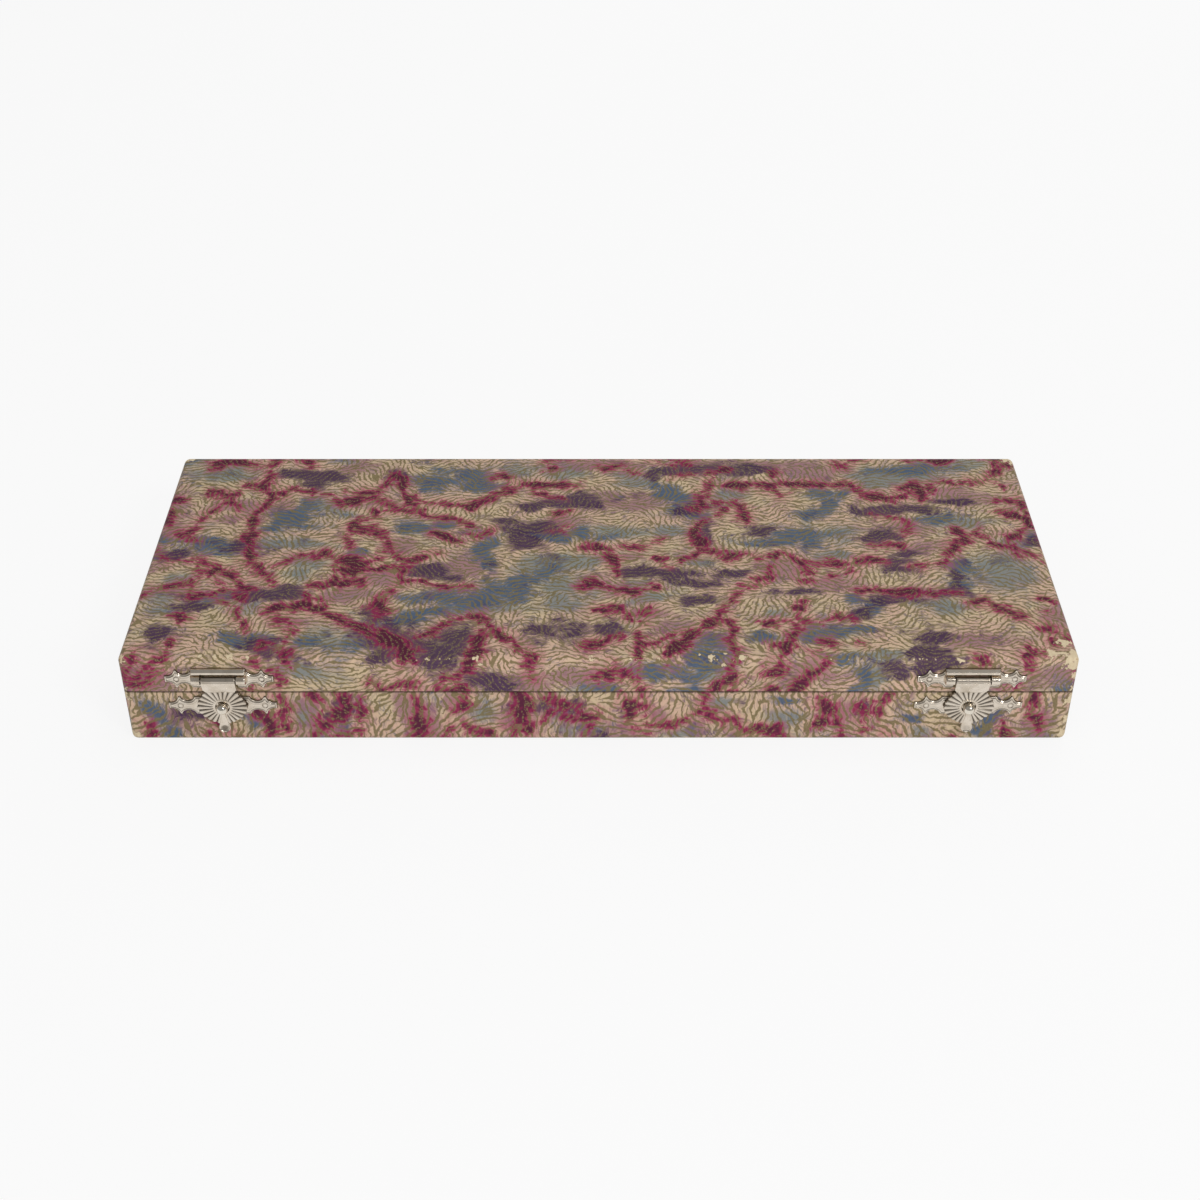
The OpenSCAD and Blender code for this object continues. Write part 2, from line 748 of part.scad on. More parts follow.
// Side view of the hasp's sheet: tangent to the barrel, over the fan, out at the lip
module hasp_profile() {
    out = barrel_out + barrel_r;
    bend_high = barrel_z - barrel_r;
    bend_low = keeper_z + fan_high - 0.4;
    lip = keeper_z - fan_low;
    tip = keeper_z - tab_reach - 1;
    polygon([
        [-out, barrel_z], [-out, bend_high], [-fan_face, bend_low], [-fan_face, lip],
        [-fan_face - tab_lift, tip], [-fan_back - tab_lift, tip], [-fan_back, lip],
        [-fan_back, bend_low], [-out + hasp_t, bend_high + hasp_t / 4], [-out + hasp_t, barrel_z],
    ]);
}

// Straight grooves between the rays, from near the hole to past the edge
module fan_grooves() {
    groove = 0.3;
    for (k = [0:fan_rays - 1]) {
        a = 360 * (k + 0.5) / fan_rays;
        if (abs(a - 270) > 180 / fan_rays + 1)
            translate([0, -fan_face, keeper_z]) rotate([0, -a, 0]) translate([hole_r + 1, 0, 0])
                rotate([45, 0, 0]) translate([0, -groove, -groove]) cube([fan_w, 2 * groove, 2 * groove]);
    }
}

module hasp() {
    color("#c4beb3") difference() {
        union() {
            difference() {
                intersection() {
                    translate([0, 0, keeper_z]) out_front(far) hasp_outline();
                    along_x(2 * fan_w) hasp_profile();
                }
                intersection() {
                    fan_grooves();
                    span([-far, -far, keeper_z - fan_low - 1], [far, far, keeper_z + neck_z]);
                }
            }
            translate([0, -barrel_out, barrel_z]) rod_x(barrel_r, barrel_len);
        }
        translate([0, -barrel_out, barrel_z]) rod_x(hasp_pin_r + pin_fit, 2 * barrel_len);
        translate([0, 0, keeper_z]) rotate([90, 0, 0]) cylinder(r = hole_r, h = far);
    }
}

module on_left() translate([-latch_left, front_y, 0]) children();

module on_right() translate([latch_right, front_y, 0]) children();

base_bottom_board();
base_front_wall();
base_back_wall();
base_left_wall();
base_right_wall();
base_cover_paper();
base_underside_sheet();
collar_front();
collar_back();
collar_left();
collar_right();
floor_pad_front();
floor_pad_middle();
floor_pad_back();
handle_rack();
bowl_rack();
lid_top_board();
lid_front_wall();
lid_back_wall();
lid_left_wall();
lid_right_wall();
lid_cover_paper();
lid_pad();
lid_strip_front();
lid_strip_back();
lid_strip_left();
lid_strip_right();
base_hinge_leaf(-1);  // base_hinge_leaf_left
base_hinge_leaf(1);  // base_hinge_leaf_right
lid_hinge_leaf(-1);  // lid_hinge_leaf_left
lid_hinge_leaf(1);  // lid_hinge_leaf_right
hinge_pin(-1);  // hinge_pin_left
hinge_pin(1);  // hinge_pin_right
base_hinge_nails();
lid_hinge_nails();
on_left() keeper_plate();  // keeper_plate_left
on_right() keeper_plate();  // keeper_plate_right
on_left() ball_stud();  // ball_stud_left
on_right() ball_stud();  // ball_stud_right
at_latches() latch_nails(keeper_z);  // keeper_nails
on_left() lid_latch_plate();  // lid_latch_plate_left
on_right() lid_latch_plate();  // lid_latch_plate_right
on_left() hasp_pin();  // hasp_pin_left
on_right() hasp_pin();  // hasp_pin_right
at_latches() latch_nails(plate_z);  // lid_latch_nails
on_left() hasp();  // hasp_left
on_right() hasp();  // hasp_right
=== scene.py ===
"""A flat chest for teaspoons: marbled paper, stamped nickel latches and a lined inside.

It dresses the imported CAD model. Shape functions work in millimetres in the chest's own
frame, x right, y back, z up, with the origin in the middle of the underside. build() makes
metres of them. Every surface is a grid of points worked out from two parameters.
"""
import json
import math

import bmesh
import bpy
import numpy as np
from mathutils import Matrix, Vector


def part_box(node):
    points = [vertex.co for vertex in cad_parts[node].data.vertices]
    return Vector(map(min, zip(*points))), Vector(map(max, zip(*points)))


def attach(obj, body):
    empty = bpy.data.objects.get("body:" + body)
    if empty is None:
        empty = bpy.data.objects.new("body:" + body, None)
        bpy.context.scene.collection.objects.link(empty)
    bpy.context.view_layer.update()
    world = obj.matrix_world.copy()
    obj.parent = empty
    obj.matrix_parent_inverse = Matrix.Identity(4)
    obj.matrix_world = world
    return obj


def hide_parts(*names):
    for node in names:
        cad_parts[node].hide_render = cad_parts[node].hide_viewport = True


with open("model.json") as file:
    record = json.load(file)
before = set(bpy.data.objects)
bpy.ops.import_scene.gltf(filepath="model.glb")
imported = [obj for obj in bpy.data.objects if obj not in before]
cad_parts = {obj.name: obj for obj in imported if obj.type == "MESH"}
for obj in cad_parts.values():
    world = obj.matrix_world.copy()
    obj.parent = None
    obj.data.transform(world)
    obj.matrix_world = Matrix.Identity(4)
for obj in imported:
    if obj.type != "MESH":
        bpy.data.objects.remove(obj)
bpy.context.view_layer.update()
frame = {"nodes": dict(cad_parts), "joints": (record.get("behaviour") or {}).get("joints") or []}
nodes = frame["nodes"]
MM = 0.001
MERGE = 2e-6  # metres within which two points become one


def corners(node):
    """Lowest and highest corner of a CAD node, in millimetres."""
    low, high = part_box(node)
    return np.array(low) / MM, np.array(high) / MM


def joint_place(name):
    """A point on a joint's axis, in millimetres."""
    return np.array(next(j["pos_m"] for j in frame["joints"] if j["name"] == name)) / MM


BASE_LOW, BASE_HIGH = corners("base_cover_paper")
LID_LOW, LID_HIGH = corners("lid_cover_paper")
WIDTH = BASE_HIGH[0] - BASE_LOW[0]
DEPTH = BASE_HIGH[1] - BASE_LOW[1]
RIM_Z = BASE_HIGH[2]
LID_Z = LID_LOW[2]
TOP_Z = LID_HIGH[2]
FRONT_Y = BASE_LOW[1]
CORNER_R = 3.0     # the upright corners, seen from above
LID_EDGE_R = 2.6   # the rounding of the lid's top edge
BASE_EDGE_R = 2.2  # the rounding of the base's lower edge
PAPER = 0.4        # the covering paper's thickness
HINGE_AXIS = joint_place("lid_hinge")
BEVEL = math.tan(math.radians(51))  # the slope of the bevelled back rims


# ---------------------------------------------------------------- meshes

def smooth_step(x, low, high):
    """0 below low, 1 above high, and the usual cubic between them."""
    t = np.clip((x - low) / (high - low), 0, 1)
    return t * t * (3 - 2 * t)


def value_noise(x, y, seed):
    """Smooth noise from -1 to 1 on the plane: random heights on whole points, blended by t^2 (3 - 2 t)."""
    cells = 64
    table = np.random.default_rng(seed).uniform(-1, 1, (cells, cells))
    xi, yi = np.floor(x).astype(int), np.floor(y).astype(int)
    fx, fy = x - xi, y - yi
    fx, fy = fx * fx * (3 - 2 * fx), fy * fy * (3 - 2 * fy)
    xi, yi, next_x, next_y = xi % cells, yi % cells, (xi + 1) % cells, (yi + 1) % cells
    near = table[xi, yi] * (1 - fx) + table[next_x, yi] * fx
    far = table[xi, next_y] * (1 - fx) + table[next_x, next_y] * fx
    return near * (1 - fy) + far * fy


class Shell:
    """The points, faces, flat coordinates and point values of one piece while it is put together."""

    def __init__(self):
        self.points, self.faces, self.flat, self.values, self.count = [], [], [], {}, 0

    def grid(self, place, flat=None, keep=None, away=None, along=None, **values):
        """Adds place[i, j] as quads. keep masks quads; faces look away from a point or along a direction."""
        rows, columns = place.shape[:2]
        i, j = np.meshgrid(np.arange(rows - 1), np.arange(columns - 1), indexing="ij")
        a = i * columns + j
        quads = np.stack([a, a + 1, a + columns + 1, a + columns], -1)
        quads = quads[keep] if keep is not None else quads.reshape(-1, 4)
        points = place.reshape(-1, 3)
        p = points[quads]
        normal = np.cross(p[:, 2] - p[:, 0], p[:, 3] - p[:, 1])
        look = p.mean(1) - np.array(away) if away is not None else np.array(along)
        if (normal * look).sum() < 0:
            quads = quads[:, ::-1]
        self.points.append(points)
        self.faces.append(quads + self.count)
        self.flat.append(np.zeros((len(points), 2)) if flat is None else flat.reshape(-1, 2))
        for key in set(self.values) | set(values):
            old = self.values.setdefault(key, [np.zeros(self.count)])
            old.append(np.broadcast_to(values.get(key, 0.0), (rows, columns)).reshape(-1))
        self.count += len(points)


def build(name, shell, finish, body, replaced, sharp):
    """Makes the mesh object of a shell, in metres, and lets it ride on its body in place of CAD nodes.
    Edges that bend by more than sharp degrees stay sharp."""
    mesh = bpy.data.meshes.new(name)
    faces = np.concatenate(shell.faces)
    mesh.from_pydata((np.concatenate(shell.points) * MM).tolist(), [], faces.tolist())
    sheet = mesh.uv_layers.new(name="sheet")
    sheet.data.foreach_set("uv", (np.concatenate(shell.flat)[faces.ravel()] * MM).ravel())
    for key, parts in shell.values.items():
        mesh.attributes.new(key, "FLOAT", "POINT").data.foreach_set("value", np.concatenate(parts))
    work = bmesh.new()
    work.from_mesh(mesh)
    bmesh.ops.remove_doubles(work, verts=work.verts, dist=MERGE)
    bmesh.ops.dissolve_degenerate(work, edges=work.edges, dist=MERGE / 4)
    loose = [v for v in work.verts if not v.link_faces]
    bmesh.ops.delete(work, geom=loose, context="VERTS")
    work.to_mesh(mesh)
    work.free()
    mesh.shade_smooth()
    mesh.set_sharp_from_angle(angle=math.radians(sharp))
    mesh.materials.append(finish)
    piece = bpy.data.objects.new(name, mesh)
    bpy.context.scene.collection.objects.link(piece)
    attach(piece, body)
    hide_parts(*replaced)
    return piece


# ---------------------------------------------------------------- materials

class Graph:
    """Adds shader nodes to a tree, linking or setting their inputs."""

    def __init__(self, tree):
        self.tree = tree

    def node(self, kind, inputs=None, **settings):
        """A new node with its settings and inputs."""
        made = self.tree.nodes.new(kind)
        for key, value in settings.items():
            setattr(made, key, value)
        for key, value in (inputs or {}).items():
            self.feed(made.inputs[key], value)
        return made

    def feed(self, socket, value):
        """Links another node's socket to this one, or sets a plain value. None leaves it as it is."""
        if isinstance(value, bpy.types.NodeSocket):
            self.tree.links.new(value, socket)
        elif value is not None:
            socket.default_value = value

    def math(self, operation, a, b=None, c=None):
        """One step of arithmetic on up to three numbers."""
        made = self.node("ShaderNodeMath", operation=operation)
        for socket, value in zip(made.inputs, (a, b, c)):
            self.feed(socket, value)
        return made.outputs[0]

    def vector(self, operation, a, b):
        """One step on two vectors, or on a vector and the number that scales it."""
        made = self.node("ShaderNodeVectorMath", operation=operation)
        self.feed(made.inputs[0], a)
        self.feed(made.inputs["Scale" if operation == "SCALE" else 1], b)
        return made.outputs[0]

    def spread(self, value, low, high, to_low=0.0, to_high=1.0):
        """Maps low..high smoothly to to_low..to_high."""
        return self.node("ShaderNodeMapRange", {"Value": value, "From Min": low, "From Max": high,
                         "To Min": to_low, "To Max": to_high}, interpolation_type="SMOOTHSTEP").outputs[0]

    def blend(self, factor, a, b, kind="MIX"):
        """The colour a, with b over it by the factor."""
        made = self.node("ShaderNodeMix", data_type="RGBA", blend_type=kind)
        for key, value in ((0, factor), (6, a), (7, b)):
            self.feed(made.inputs[key], value)
        return made.outputs[2]

    def noise(self, place, size, detail=2.0, rough=0.5, flat=True):
        """Noise whose features are about size apart. Returns its value and its colour."""
        made = self.node("ShaderNodeTexNoise", {"Vector": place, "Scale": 1.0 / size, "Detail": detail,
                         "Roughness": rough}, noise_dimensions="2D" if flat else "3D")
        return made.outputs["Fac"], made.outputs["Color"]

    def stretch(self, place, along, across, shift=(0, 0, 0)):
        """Makes a pattern longer by the factors along and across, after a shift."""
        moved = self.vector("ADD", place, shift)
        return self.vector("MULTIPLY", moved, (1 / along, 1 / across, 1.0))

    def warp(self, place, size, reach, shift=(0, 0, 0)):
        """Pushes a place about by up to half of reach."""
        colour = self.noise(self.vector("ADD", place, shift), size)[1]
        push = self.vector("SUBTRACT", colour, (0.5, 0.5, 0.5))
        return self.vector("ADD", place, self.vector("SCALE", push, reach))

    def stray(self, value, noise, reach):
        """Pushes a value up or down by a noise, by up to half of reach."""
        return self.math("MULTIPLY_ADD", self.math("SUBTRACT", noise, 0.5), reach, value)

    def carried(self, name):
        """A value that the mesh carries at its points."""
        return self.node("ShaderNodeAttribute", attribute_name=name).outputs["Fac"]

    def solid_place(self):
        """The place in the piece's own frame, in millimetres."""
        return self.vector("SCALE", self.node("ShaderNodeTexCoord").outputs["Object"], 1 / MM)


def group(name, inputs, outputs):
    """A new node group with named sockets. Returns its graph, its inputs and a function that sets an
    output."""
    tree = bpy.data.node_groups.new(name, "ShaderNodeTree")
    for side, sockets in (("INPUT", inputs), ("OUTPUT", outputs)):
        for label, kind in sockets.items():
            tree.interface.new_socket(label, in_out=side, socket_type="NodeSocket" + kind)
    graph = Graph(tree)
    enter, leave = graph.node("NodeGroupInput"), graph.node("NodeGroupOutput")
    return graph, enter.outputs, lambda label, value: graph.feed(leave.inputs[label], value)


def material(name, **constants):
    """A material with a Principled BSDF whose plain values are set on its own sockets."""
    made = bpy.data.materials.new(name)
    made.use_nodes = True
    graph = Graph(made.node_tree)
    shader = made.node_tree.nodes["Principled BSDF"]
    for key, value in constants.items():
        shader.inputs[key.replace("_", " ")].default_value = value
    return made, graph, shader


def coat(g, shader, colour, rough, height, strength, depth):
    """Joins a colour, a roughness and a height to the shader. depth is the relief in millimetres."""
    g.feed(shader.inputs["Base Color"], colour)
    g.feed(shader.inputs["Roughness"], rough)
    bump = g.node("ShaderNodeBump", {"Height": height, "Strength": strength, "Distance": depth * MM})
    g.feed(shader.inputs["Normal"], bump.outputs[0])


def rgb(red, green, blue):
    """Linear colour from 0-255 screen values."""
    def linear(v):
        v /= 255
        return v / 12.92 if v <= 0.04045 else ((v + 0.055) / 1.055) ** 2.4
    return (linear(red), linear(green), linear(blue), 1.0)


BLOT_DYES = ("grey", "mauve", "blue", "plum")
DYES = (*BLOT_DYES, "vein")
CREAM, WARM_CREAM, COMBED = rgb(211, 188, 154), rgb(214, 180, 157), rgb(165, 143, 127)
GREY, MAUVE = rgb(116, 128, 130), rgb(152, 106, 120)
DARK_BLUE, LIGHT_BLUE = rgb(58, 72, 102), rgb(94, 114, 134)
DARK_PLUM, LIGHT_PLUM = rgb(52, 29, 58), rgb(86, 58, 90)
PINK, CRIMSON, DEEP_CRIMSON = rgb(178, 92, 112), rgb(142, 36, 78), rgb(80, 28, 52)
DARK_GOLD, LIGHT_GOLD = rgb(106, 95, 62), rgb(138, 123, 84)
LIGHT_CARD, DARK_CARD = rgb(230, 215, 184), rgb(208, 186, 150)
WORN_LIP, DIRT_AND_SHADE = rgb(120, 96, 72), rgb(52, 40, 34)
WHITE = (1, 1, 1, 1)
DARK_TOOTH, LIGHT_TOOTH = (0.2, 0.2, 0.2, 1), (0.8, 0.8, 0.8, 1)


def marbling_group():
    """Marbled and gold-lined paper. Place is in millimetres on the flat sheet.

    The dyes come as values of the mesh: hills for the soft blots and the depth inside the veins, in
    millimetres. A feathered noise, longer along x, frays their edges. A vein is crimson, dark in
    the middle, in a pink halo. Gold lines: a banded texture whose direction turns slowly, wiggled
    by a fine noise, with thick trunks where bands of two directions meet.
    """
    values = {key.title(): "Float" for key in ("wear", "soil", *DYES)}
    g, given, give = group("Marbled sheet", {"Place": "Vector"} | values,
                           {"Color": "Color", "Roughness": "Float", "Height": "Float"})
    place = given["Place"]
    combed = g.stretch(g.warp(place, 12, 14), 3.2, 0.85)
    feather = g.noise(combed, 1.0, 3, 0.62)[0]
    mottle = g.noise(place, 5, 4, 0.65)[0]
    fray = g.math("ADD", g.math("MULTIPLY_ADD", feather, 1.1, -0.55),
                  g.math("MULTIPLY_ADD", mottle, 0.8, -0.4))
    bent = g.warp(place, 18, 12)

    def blot(name, size, shift, low, high, much):
        noise = g.noise(g.stretch(bent, 1.6, 1.0, shift), size, 2, 0.55)[0]
        value = g.math("MULTIPLY_ADD", fray, 0.8, g.stray(given[name], noise, 1.6))
        return g.math("MULTIPLY", g.spread(value, low, high), much)

    ground = g.blend(g.spread(g.noise(place, 24, 3)[0], 0.38, 0.62), CREAM, WARM_CREAM)
    ground = g.blend(g.spread(feather, 0.42, 0.82), ground, COMBED)
    ground = g.blend(blot("Grey", 13, (90, 40, 0), 0.0, 1.0, 0.85), ground, GREY)
    ground = g.blend(blot("Mauve", 12, (10, 270, 0), 0.0, 1.0, 0.80), ground, MAUVE)
    blue = blot("Blue", 10, (200, 10, 0), 0.08, 0.92, 0.97)
    ground = g.blend(blue, ground, g.blend(mottle, DARK_BLUE, LIGHT_BLUE))
    plum = blot("Plum", 9, (300, 130, 0), 0.08, 0.82, 0.95)
    ground = g.blend(plum, ground, g.blend(mottle, DARK_PLUM, LIGHT_PLUM))

    # veins: the depth from the edge inwards, in millimetres, sets halo, body and dark middle
    depth = given["Vein"]
    coarse = g.noise(g.vector("ADD", bent, (77, 7, 0)), 7, 2, 0.55)[0]
    fine = g.noise(g.vector("ADD", place, (7, 77, 0)), 2.8)[0]
    depth = g.stray(g.stray(depth, coarse, 8.0), fine, 4.0)
    depth = g.math("MULTIPLY_ADD", fray, 3.2, depth)
    halo = g.spread(depth, -7.5, 0.4)
    much = g.math("MULTIPLY_ADD", plum, -0.5, 0.7)
    colour = g.blend(g.math("MULTIPLY", g.math("MULTIPLY", halo, halo), much), ground, PINK)
    colour = g.blend(g.math("MULTIPLY", g.spread(depth, -1.6, 0.4), 0.92), colour, CRIMSON)
    colour = g.blend(g.math("MULTIPLY", g.spread(depth, 0.1, 2.5), 0.92), colour, DEEP_CRIMSON)

    # gold lines, weaker in specks over the dark dyes
    turn = g.noise(g.vector("ADD", place, (5, 33, 0)), 26, 1)[0]
    turn = g.math("MULTIPLY_ADD", turn, 6.6, -3.3 + math.pi / 2)
    ragged = g.warp(place, 3.0, 2.2, (31, 7, 0))
    lines = g.node("ShaderNodeTexGabor", {"Vector": ragged, "Scale": 1 / 7.0, "Frequency": 2.9,
                   "Anisotropy": 1.0, "Orientation": turn}, gabor_type="2D")
    phase = g.math("ABSOLUTE", g.math("SUBTRACT", lines.outputs["Phase"], 0.5))
    thin = g.noise(g.vector("ADD", place, (50, 50, 0)), 4)[0]
    half = g.spread(thin, 0.3, 0.7, 0.12, 0.24)
    line = g.spread(g.math("SUBTRACT", phase, half), 0.05, -0.05)
    weak = g.spread(lines.outputs["Intensity"], 0.09, 0.04)
    line = g.math("MAXIMUM", line, weak)
    dark = g.math("MAXIMUM", g.spread(depth, -0.4, 1.4), plum)
    speck = g.noise(place, 0.75, 1)[0]
    shown = g.blend(g.math("MULTIPLY", dark, 0.9), WHITE, g.spread(speck, 0.46, 0.60))
    line = g.math("MULTIPLY", line, shown)
    colour = g.blend(g.math("MULTIPLY", line, 0.90), colour, g.blend(speck, DARK_GOLD, LIGHT_GOLD))

    # bare card where the paper is worn through, with a dirty lip round it
    grain = g.noise(g.vector("ADD", place, (9, 9, 0)), 2.4, 4, 0.62)[0]
    bare = g.math("ADD", given["Wear"], g.math("MULTIPLY_ADD", grain, 1.5, -0.75))
    card = g.blend(g.noise(place, 1.1, 3)[0], LIGHT_CARD, DARK_CARD)
    colour = g.blend(g.math("MULTIPLY", g.spread(bare, 0.30, 0.55), 0.35), colour, WORN_LIP)
    worn = g.spread(bare, 0.52, 0.60)
    colour = g.blend(worn, colour, card)
    # dirt and painted shade: the paper is darkened along the rims, where the gap between lid and base lies
    colour = g.blend(given["Soil"], colour, DIRT_AND_SHADE)
    tooth = g.noise(place, 0.35)[0]
    colour = g.blend(0.16, colour, g.blend(tooth, DARK_TOOTH, LIGHT_TOOTH), "OVERLAY")
    give("Color", colour)
    give("Roughness", g.math("ADD", g.math("MULTIPLY_ADD", line, -0.08, 0.56), g.math("MULTIPLY", worn, 0.3)))
    height = g.math("MULTIPLY_ADD", line, 0.25, g.math("MULTIPLY", tooth, 0.35))
    give("Height", g.math("MULTIPLY_ADD", worn, -1.4, height))
    return g.tree


MARBLING = marbling_group()


def marbled(name, shift, turned, size):
    """The marbled paper as a finish, read from the sheet's flat coordinates and the piece's wear."""
    made, g, shader = material(name, Specular_IOR_Level=0.2)
    sheet = g.node("ShaderNodeUVMap", uv_map="sheet").outputs["UV"]
    scale = (1 / MM / size, 1 / MM / size, 1 / MM)
    mapped = g.node("ShaderNodeMapping", {"Vector": sheet, "Location": shift, "Scale": scale,
                    "Rotation": (0, 0, math.radians(turned))}).outputs[0]
    paper = g.node("ShaderNodeGroup", node_tree=MARBLING)
    g.feed(paper.inputs["Place"], mapped)
    for key in ("wear", "soil", *DYES):
        g.feed(paper.inputs[key.title()], g.carried(key))
    coat(g, shader, paper.outputs["Color"], paper.outputs["Roughness"], paper.outputs["Height"], 0.5, 0.1)
    return made


def nickel(name, colour, rough, tarnish):
    """Nickel plate: soft scratches, cloudy tarnish, and painted shade in the recesses and along the edges
    that the piece marks.
    """
    made, g, shader = material(name, Metallic=1.0)
    place = g.solid_place()
    cloud = g.noise(place, 5, 3, flat=False)[0]
    spot = g.spread(g.noise(place, 1.3, 3, 0.6, flat=False)[0], 0.60, 0.70)
    recess = g.carried("recess")
    tone = g.blend(g.math("MULTIPLY", g.spread(cloud, 0.35, 0.7), tarnish), colour, rgb(150, 128, 96))
    tone = g.blend(g.math("MULTIPLY", spot, 0.6 * tarnish), tone, rgb(96, 82, 66))
    # painted shade: darker and duller where the piece marks its grooves, edges and skirts
    tone = g.blend(g.math("MULTIPLY", recess, 0.85), tone, rgb(70, 58, 44))
    dull = g.math("ADD", g.math("MULTIPLY_ADD", cloud, 0.16, rough - 0.08), g.math("MULTIPLY", recess, 0.25))
    scratch = g.noise(g.stretch(place, 9, 0.3), 1, flat=False)[0]
    height = g.math("ADD", g.math("MULTIPLY", scratch, 0.3), g.noise(place, 2.2, flat=False)[0])
    coat(g, shader, tone, dull, height, 0.12, 0.1)
    return made


def cloth(name, light, dark, rough, size, sheen, depth, **constants):
    """Velvet or satin: a fine thread or pile grain over slow changes of tone."""
    made, g, shader = material(name, Roughness=rough, Sheen_Weight=sheen, Sheen_Roughness=0.4, **constants)
    place = g.solid_place()
    slow = g.spread(g.noise(place, 16, 3, flat=False)[0], 0.35, 0.65)
    fine = g.noise(place, size, flat=False)[0]
    tone = g.blend(g.math("MULTIPLY_ADD", fine, 0.5, g.math("MULTIPLY", slow, 0.5)), dark, light)
    coat(g, shader, tone, None, fine, 0.6, depth)
    return made


def wood(name):
    """Plain softwood: long grain along x, from stretched noise read through a wave."""
    made, g, shader = material(name, Specular_IOR_Level=0.3)
    bent = g.warp(g.solid_place(), 40, 9)
    rings = g.noise(g.stretch(bent, 30, 1.6), 1.5, 3, flat=False)[0]
    tone = g.blend(g.spread(rings, 0.35, 0.65), rgb(176, 140, 96), rgb(206, 174, 128))
    coat(g, shader, tone, g.math("MULTIPLY_ADD", rings, 0.2, 0.6), rings, 0.4, 0.2)
    return made


def plain_paper(name):
    """Brown lining paper with fibres and a few scuffs."""
    made, g, shader = material(name, Specular_IOR_Level=0.3)
    place = g.solid_place()
    fibres = g.noise(g.stretch(place, 3, 0.6), 1, 3)[0]
    scuffs = g.spread(g.noise(place, 9, 4, 0.7)[0], 0.60, 0.72)
    tone = g.blend(fibres, rgb(104, 86, 74), rgb(128, 108, 92))
    tone = g.blend(g.math("MULTIPLY", scuffs, 0.6), tone, rgb(162, 140, 116))
    coat(g, shader, tone, g.math("MULTIPLY_ADD", fibres, 0.2, 0.65), fibres, 0.3, 0.1)
    return made


LID_PAPER = marbled("marbled_paper_lid", (260, 180, 0), 0, 1.0)
BASE_PAPER = marbled("marbled_paper_base", (900, 420, 0), 90, 1.25)
NICKEL = nickel("nickel_sheet", rgb(222, 211, 196), 0.24, 0.28)
BRIGHT = nickel("nickel_solid", rgb(228, 220, 206), 0.15, 0.15)
HINGE_METAL = nickel("hinge_steel", rgb(168, 156, 136), 0.34, 0.6)
VELVET = cloth("plum_velvet", rgb(104, 40, 66), rgb(66, 20, 40), 0.9, 0.5, 0.8, 0.4,
               Sheen_Tint=rgb(220, 150, 180))
SATIN = cloth("ivory_satin", rgb(236, 226, 202), rgb(216, 203, 172), 0.42, 0.35, 0.25, 0.08)
WOOD = wood("case_wood")
UNDER = plain_paper("underside_paper")


# ---------------------------------------------------------------- dyes

